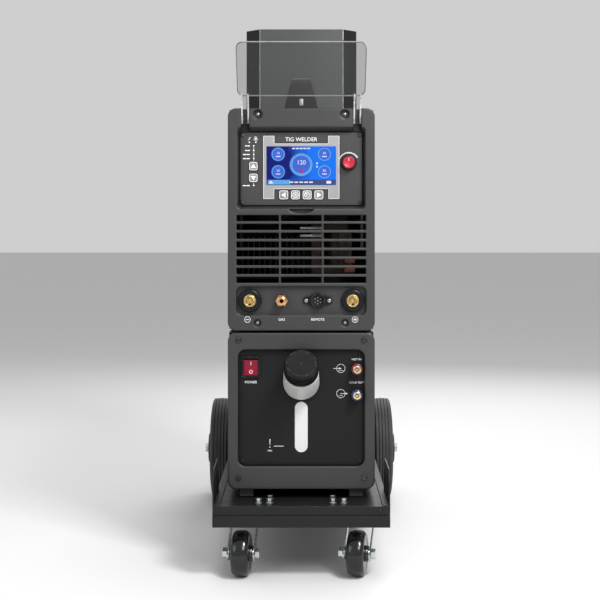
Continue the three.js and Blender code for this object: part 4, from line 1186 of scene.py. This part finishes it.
# Each arm's inner and outer face, and the width of the white band along each of them: a frosted edge with a
# painted glint.
ARM_FACES = (88.9, 102.1)
ARM_BAND = 2.6
ARM_OUTLINE = [(-1.5, -1), (1.5, -1), (9.5, 20), (10.5, 28), (10.5, 50), (7.5, 50), (7.5, 29),
               (6.3, 22)]
HANDLE_LEAN = 6.7
HANDLE_PLATE = (0, 81.4, 805)
COVER_SIDE = 124.0
COVER_REAR = 540.0
INVERTER_ROWS = (424, 774)
COOLER_ROWS = (152, 393)


def add_cover_edges():
    """The clear cover's sawn edges: grey round the sheet's rim, and white bands along its two arms, which are
    frosted edges with a painted glint of the light the clear arms refract.
    """
    hinge = Matrix.Translation(at(*COVER_HINGE)) @ Matrix.Rotation(COVER_LEAN, 4, "X")
    edge_grey = surface("sawn_edge", (0.10, 0.105, 0.105), 0.35, mottle=0.3, mottle_scale=90)
    rim = frame_prism(*SHEET_SIZE, SHEET_CORNER, SHEET_RIM, SHEET_DEPTH)
    rim.transform(hinge @ Matrix.Translation(Vector(SHEET_MIDDLE) * MM) @ FACE_FRONT)
    add("cover_rim", rim, edge_grey, "display_cover")

    # White, half-clear bands: frosted sawn edges, and a painted glint of the light refracted in the arms.
    frosted = surface("frosted_glint_edge", (0.78, 0.79, 0.79), 0.4, mottle=0.5, mottle_scale=240)
    feed(frosted.node_tree, frosted.node_tree.nodes["Principled BSDF"], {"Alpha": 0.6})
    # Local x to the back and y up, so that the outline's thickness runs across the machine.
    across = Matrix(((0, 0, 1, 0), (1, 0, 0, 0), (0, 1, 0, 0), (0, 0, 0, 1)))
    inner, outer = ARM_FACES
    parts = []
    for _, side in SIDES:
        for x in (inner, outer - ARM_BAND):
            left = x if side > 0 else -x - ARM_BAND
            there = Matrix.Translation((left * MM, 0, 0))
            parts.append((prism(ARM_OUTLINE, ARM_BAND), hinge @ there @ across))
    add("cover_arm_edges", gather(parts), frosted, "display_cover")


def add_handle_plate():
    """A small plate on the front of the handle's front leg, which leans back."""
    plate = prism(rounded_outline(6.6, 12.4, 1.2), 2.2, 0.4)
    lean = Matrix.Rotation(math.radians(90 - HANDLE_LEAN), 4, "X")
    plate.transform(Matrix.Translation(at(*HANDLE_PLATE)) @ lean)
    add("handle_plate", plate, "key_plastic")


def add_cover_fasteners():
    """Screws along the sheet covers' sides, and in the corners of the rear panels."""
    size = (4.2, 2.2)
    for name, side in SIDES:
        places = [at(side * COVER_SIDE, y, z)
                  for columns, rows in (((60, 290, 505), INVERTER_ROWS), ((60, 290, 520), COOLER_ROWS))
                  for y in columns for z in rows]
        add_fasteners(f"cover_screws_{name}", pan_screw, size, places, RIGHT * side, BLACK_SCREW)
    rear = pairs(112, COVER_REAR, 422, 774) + pairs(112, COVER_REAR, *COOLER_ROWS)
    add_fasteners("rear_screws", pan_screw, size, rear, BACKWARD, BLACK_SCREW)
    earth = [at(0, COVER_REAR, 445)]
    add_fasteners("earth_stud", hex_bolt, (10, 6, 8), earth, BACKWARD, "brass")


# ---- The scene ----
add_camera()
add_lights()
add_studio()
finish_cad_nodes()
add_rear_wheels()
add_castors()
add_trolley_fasteners()
add_marks("cradle_fold_highlights", draw_cradle_fold_highlights, FOLD_HIGHLIGHT)
add_cooler_details()
add_inverter_details()
add_cover_edges()
add_handle_plate()
add_cover_fasteners()
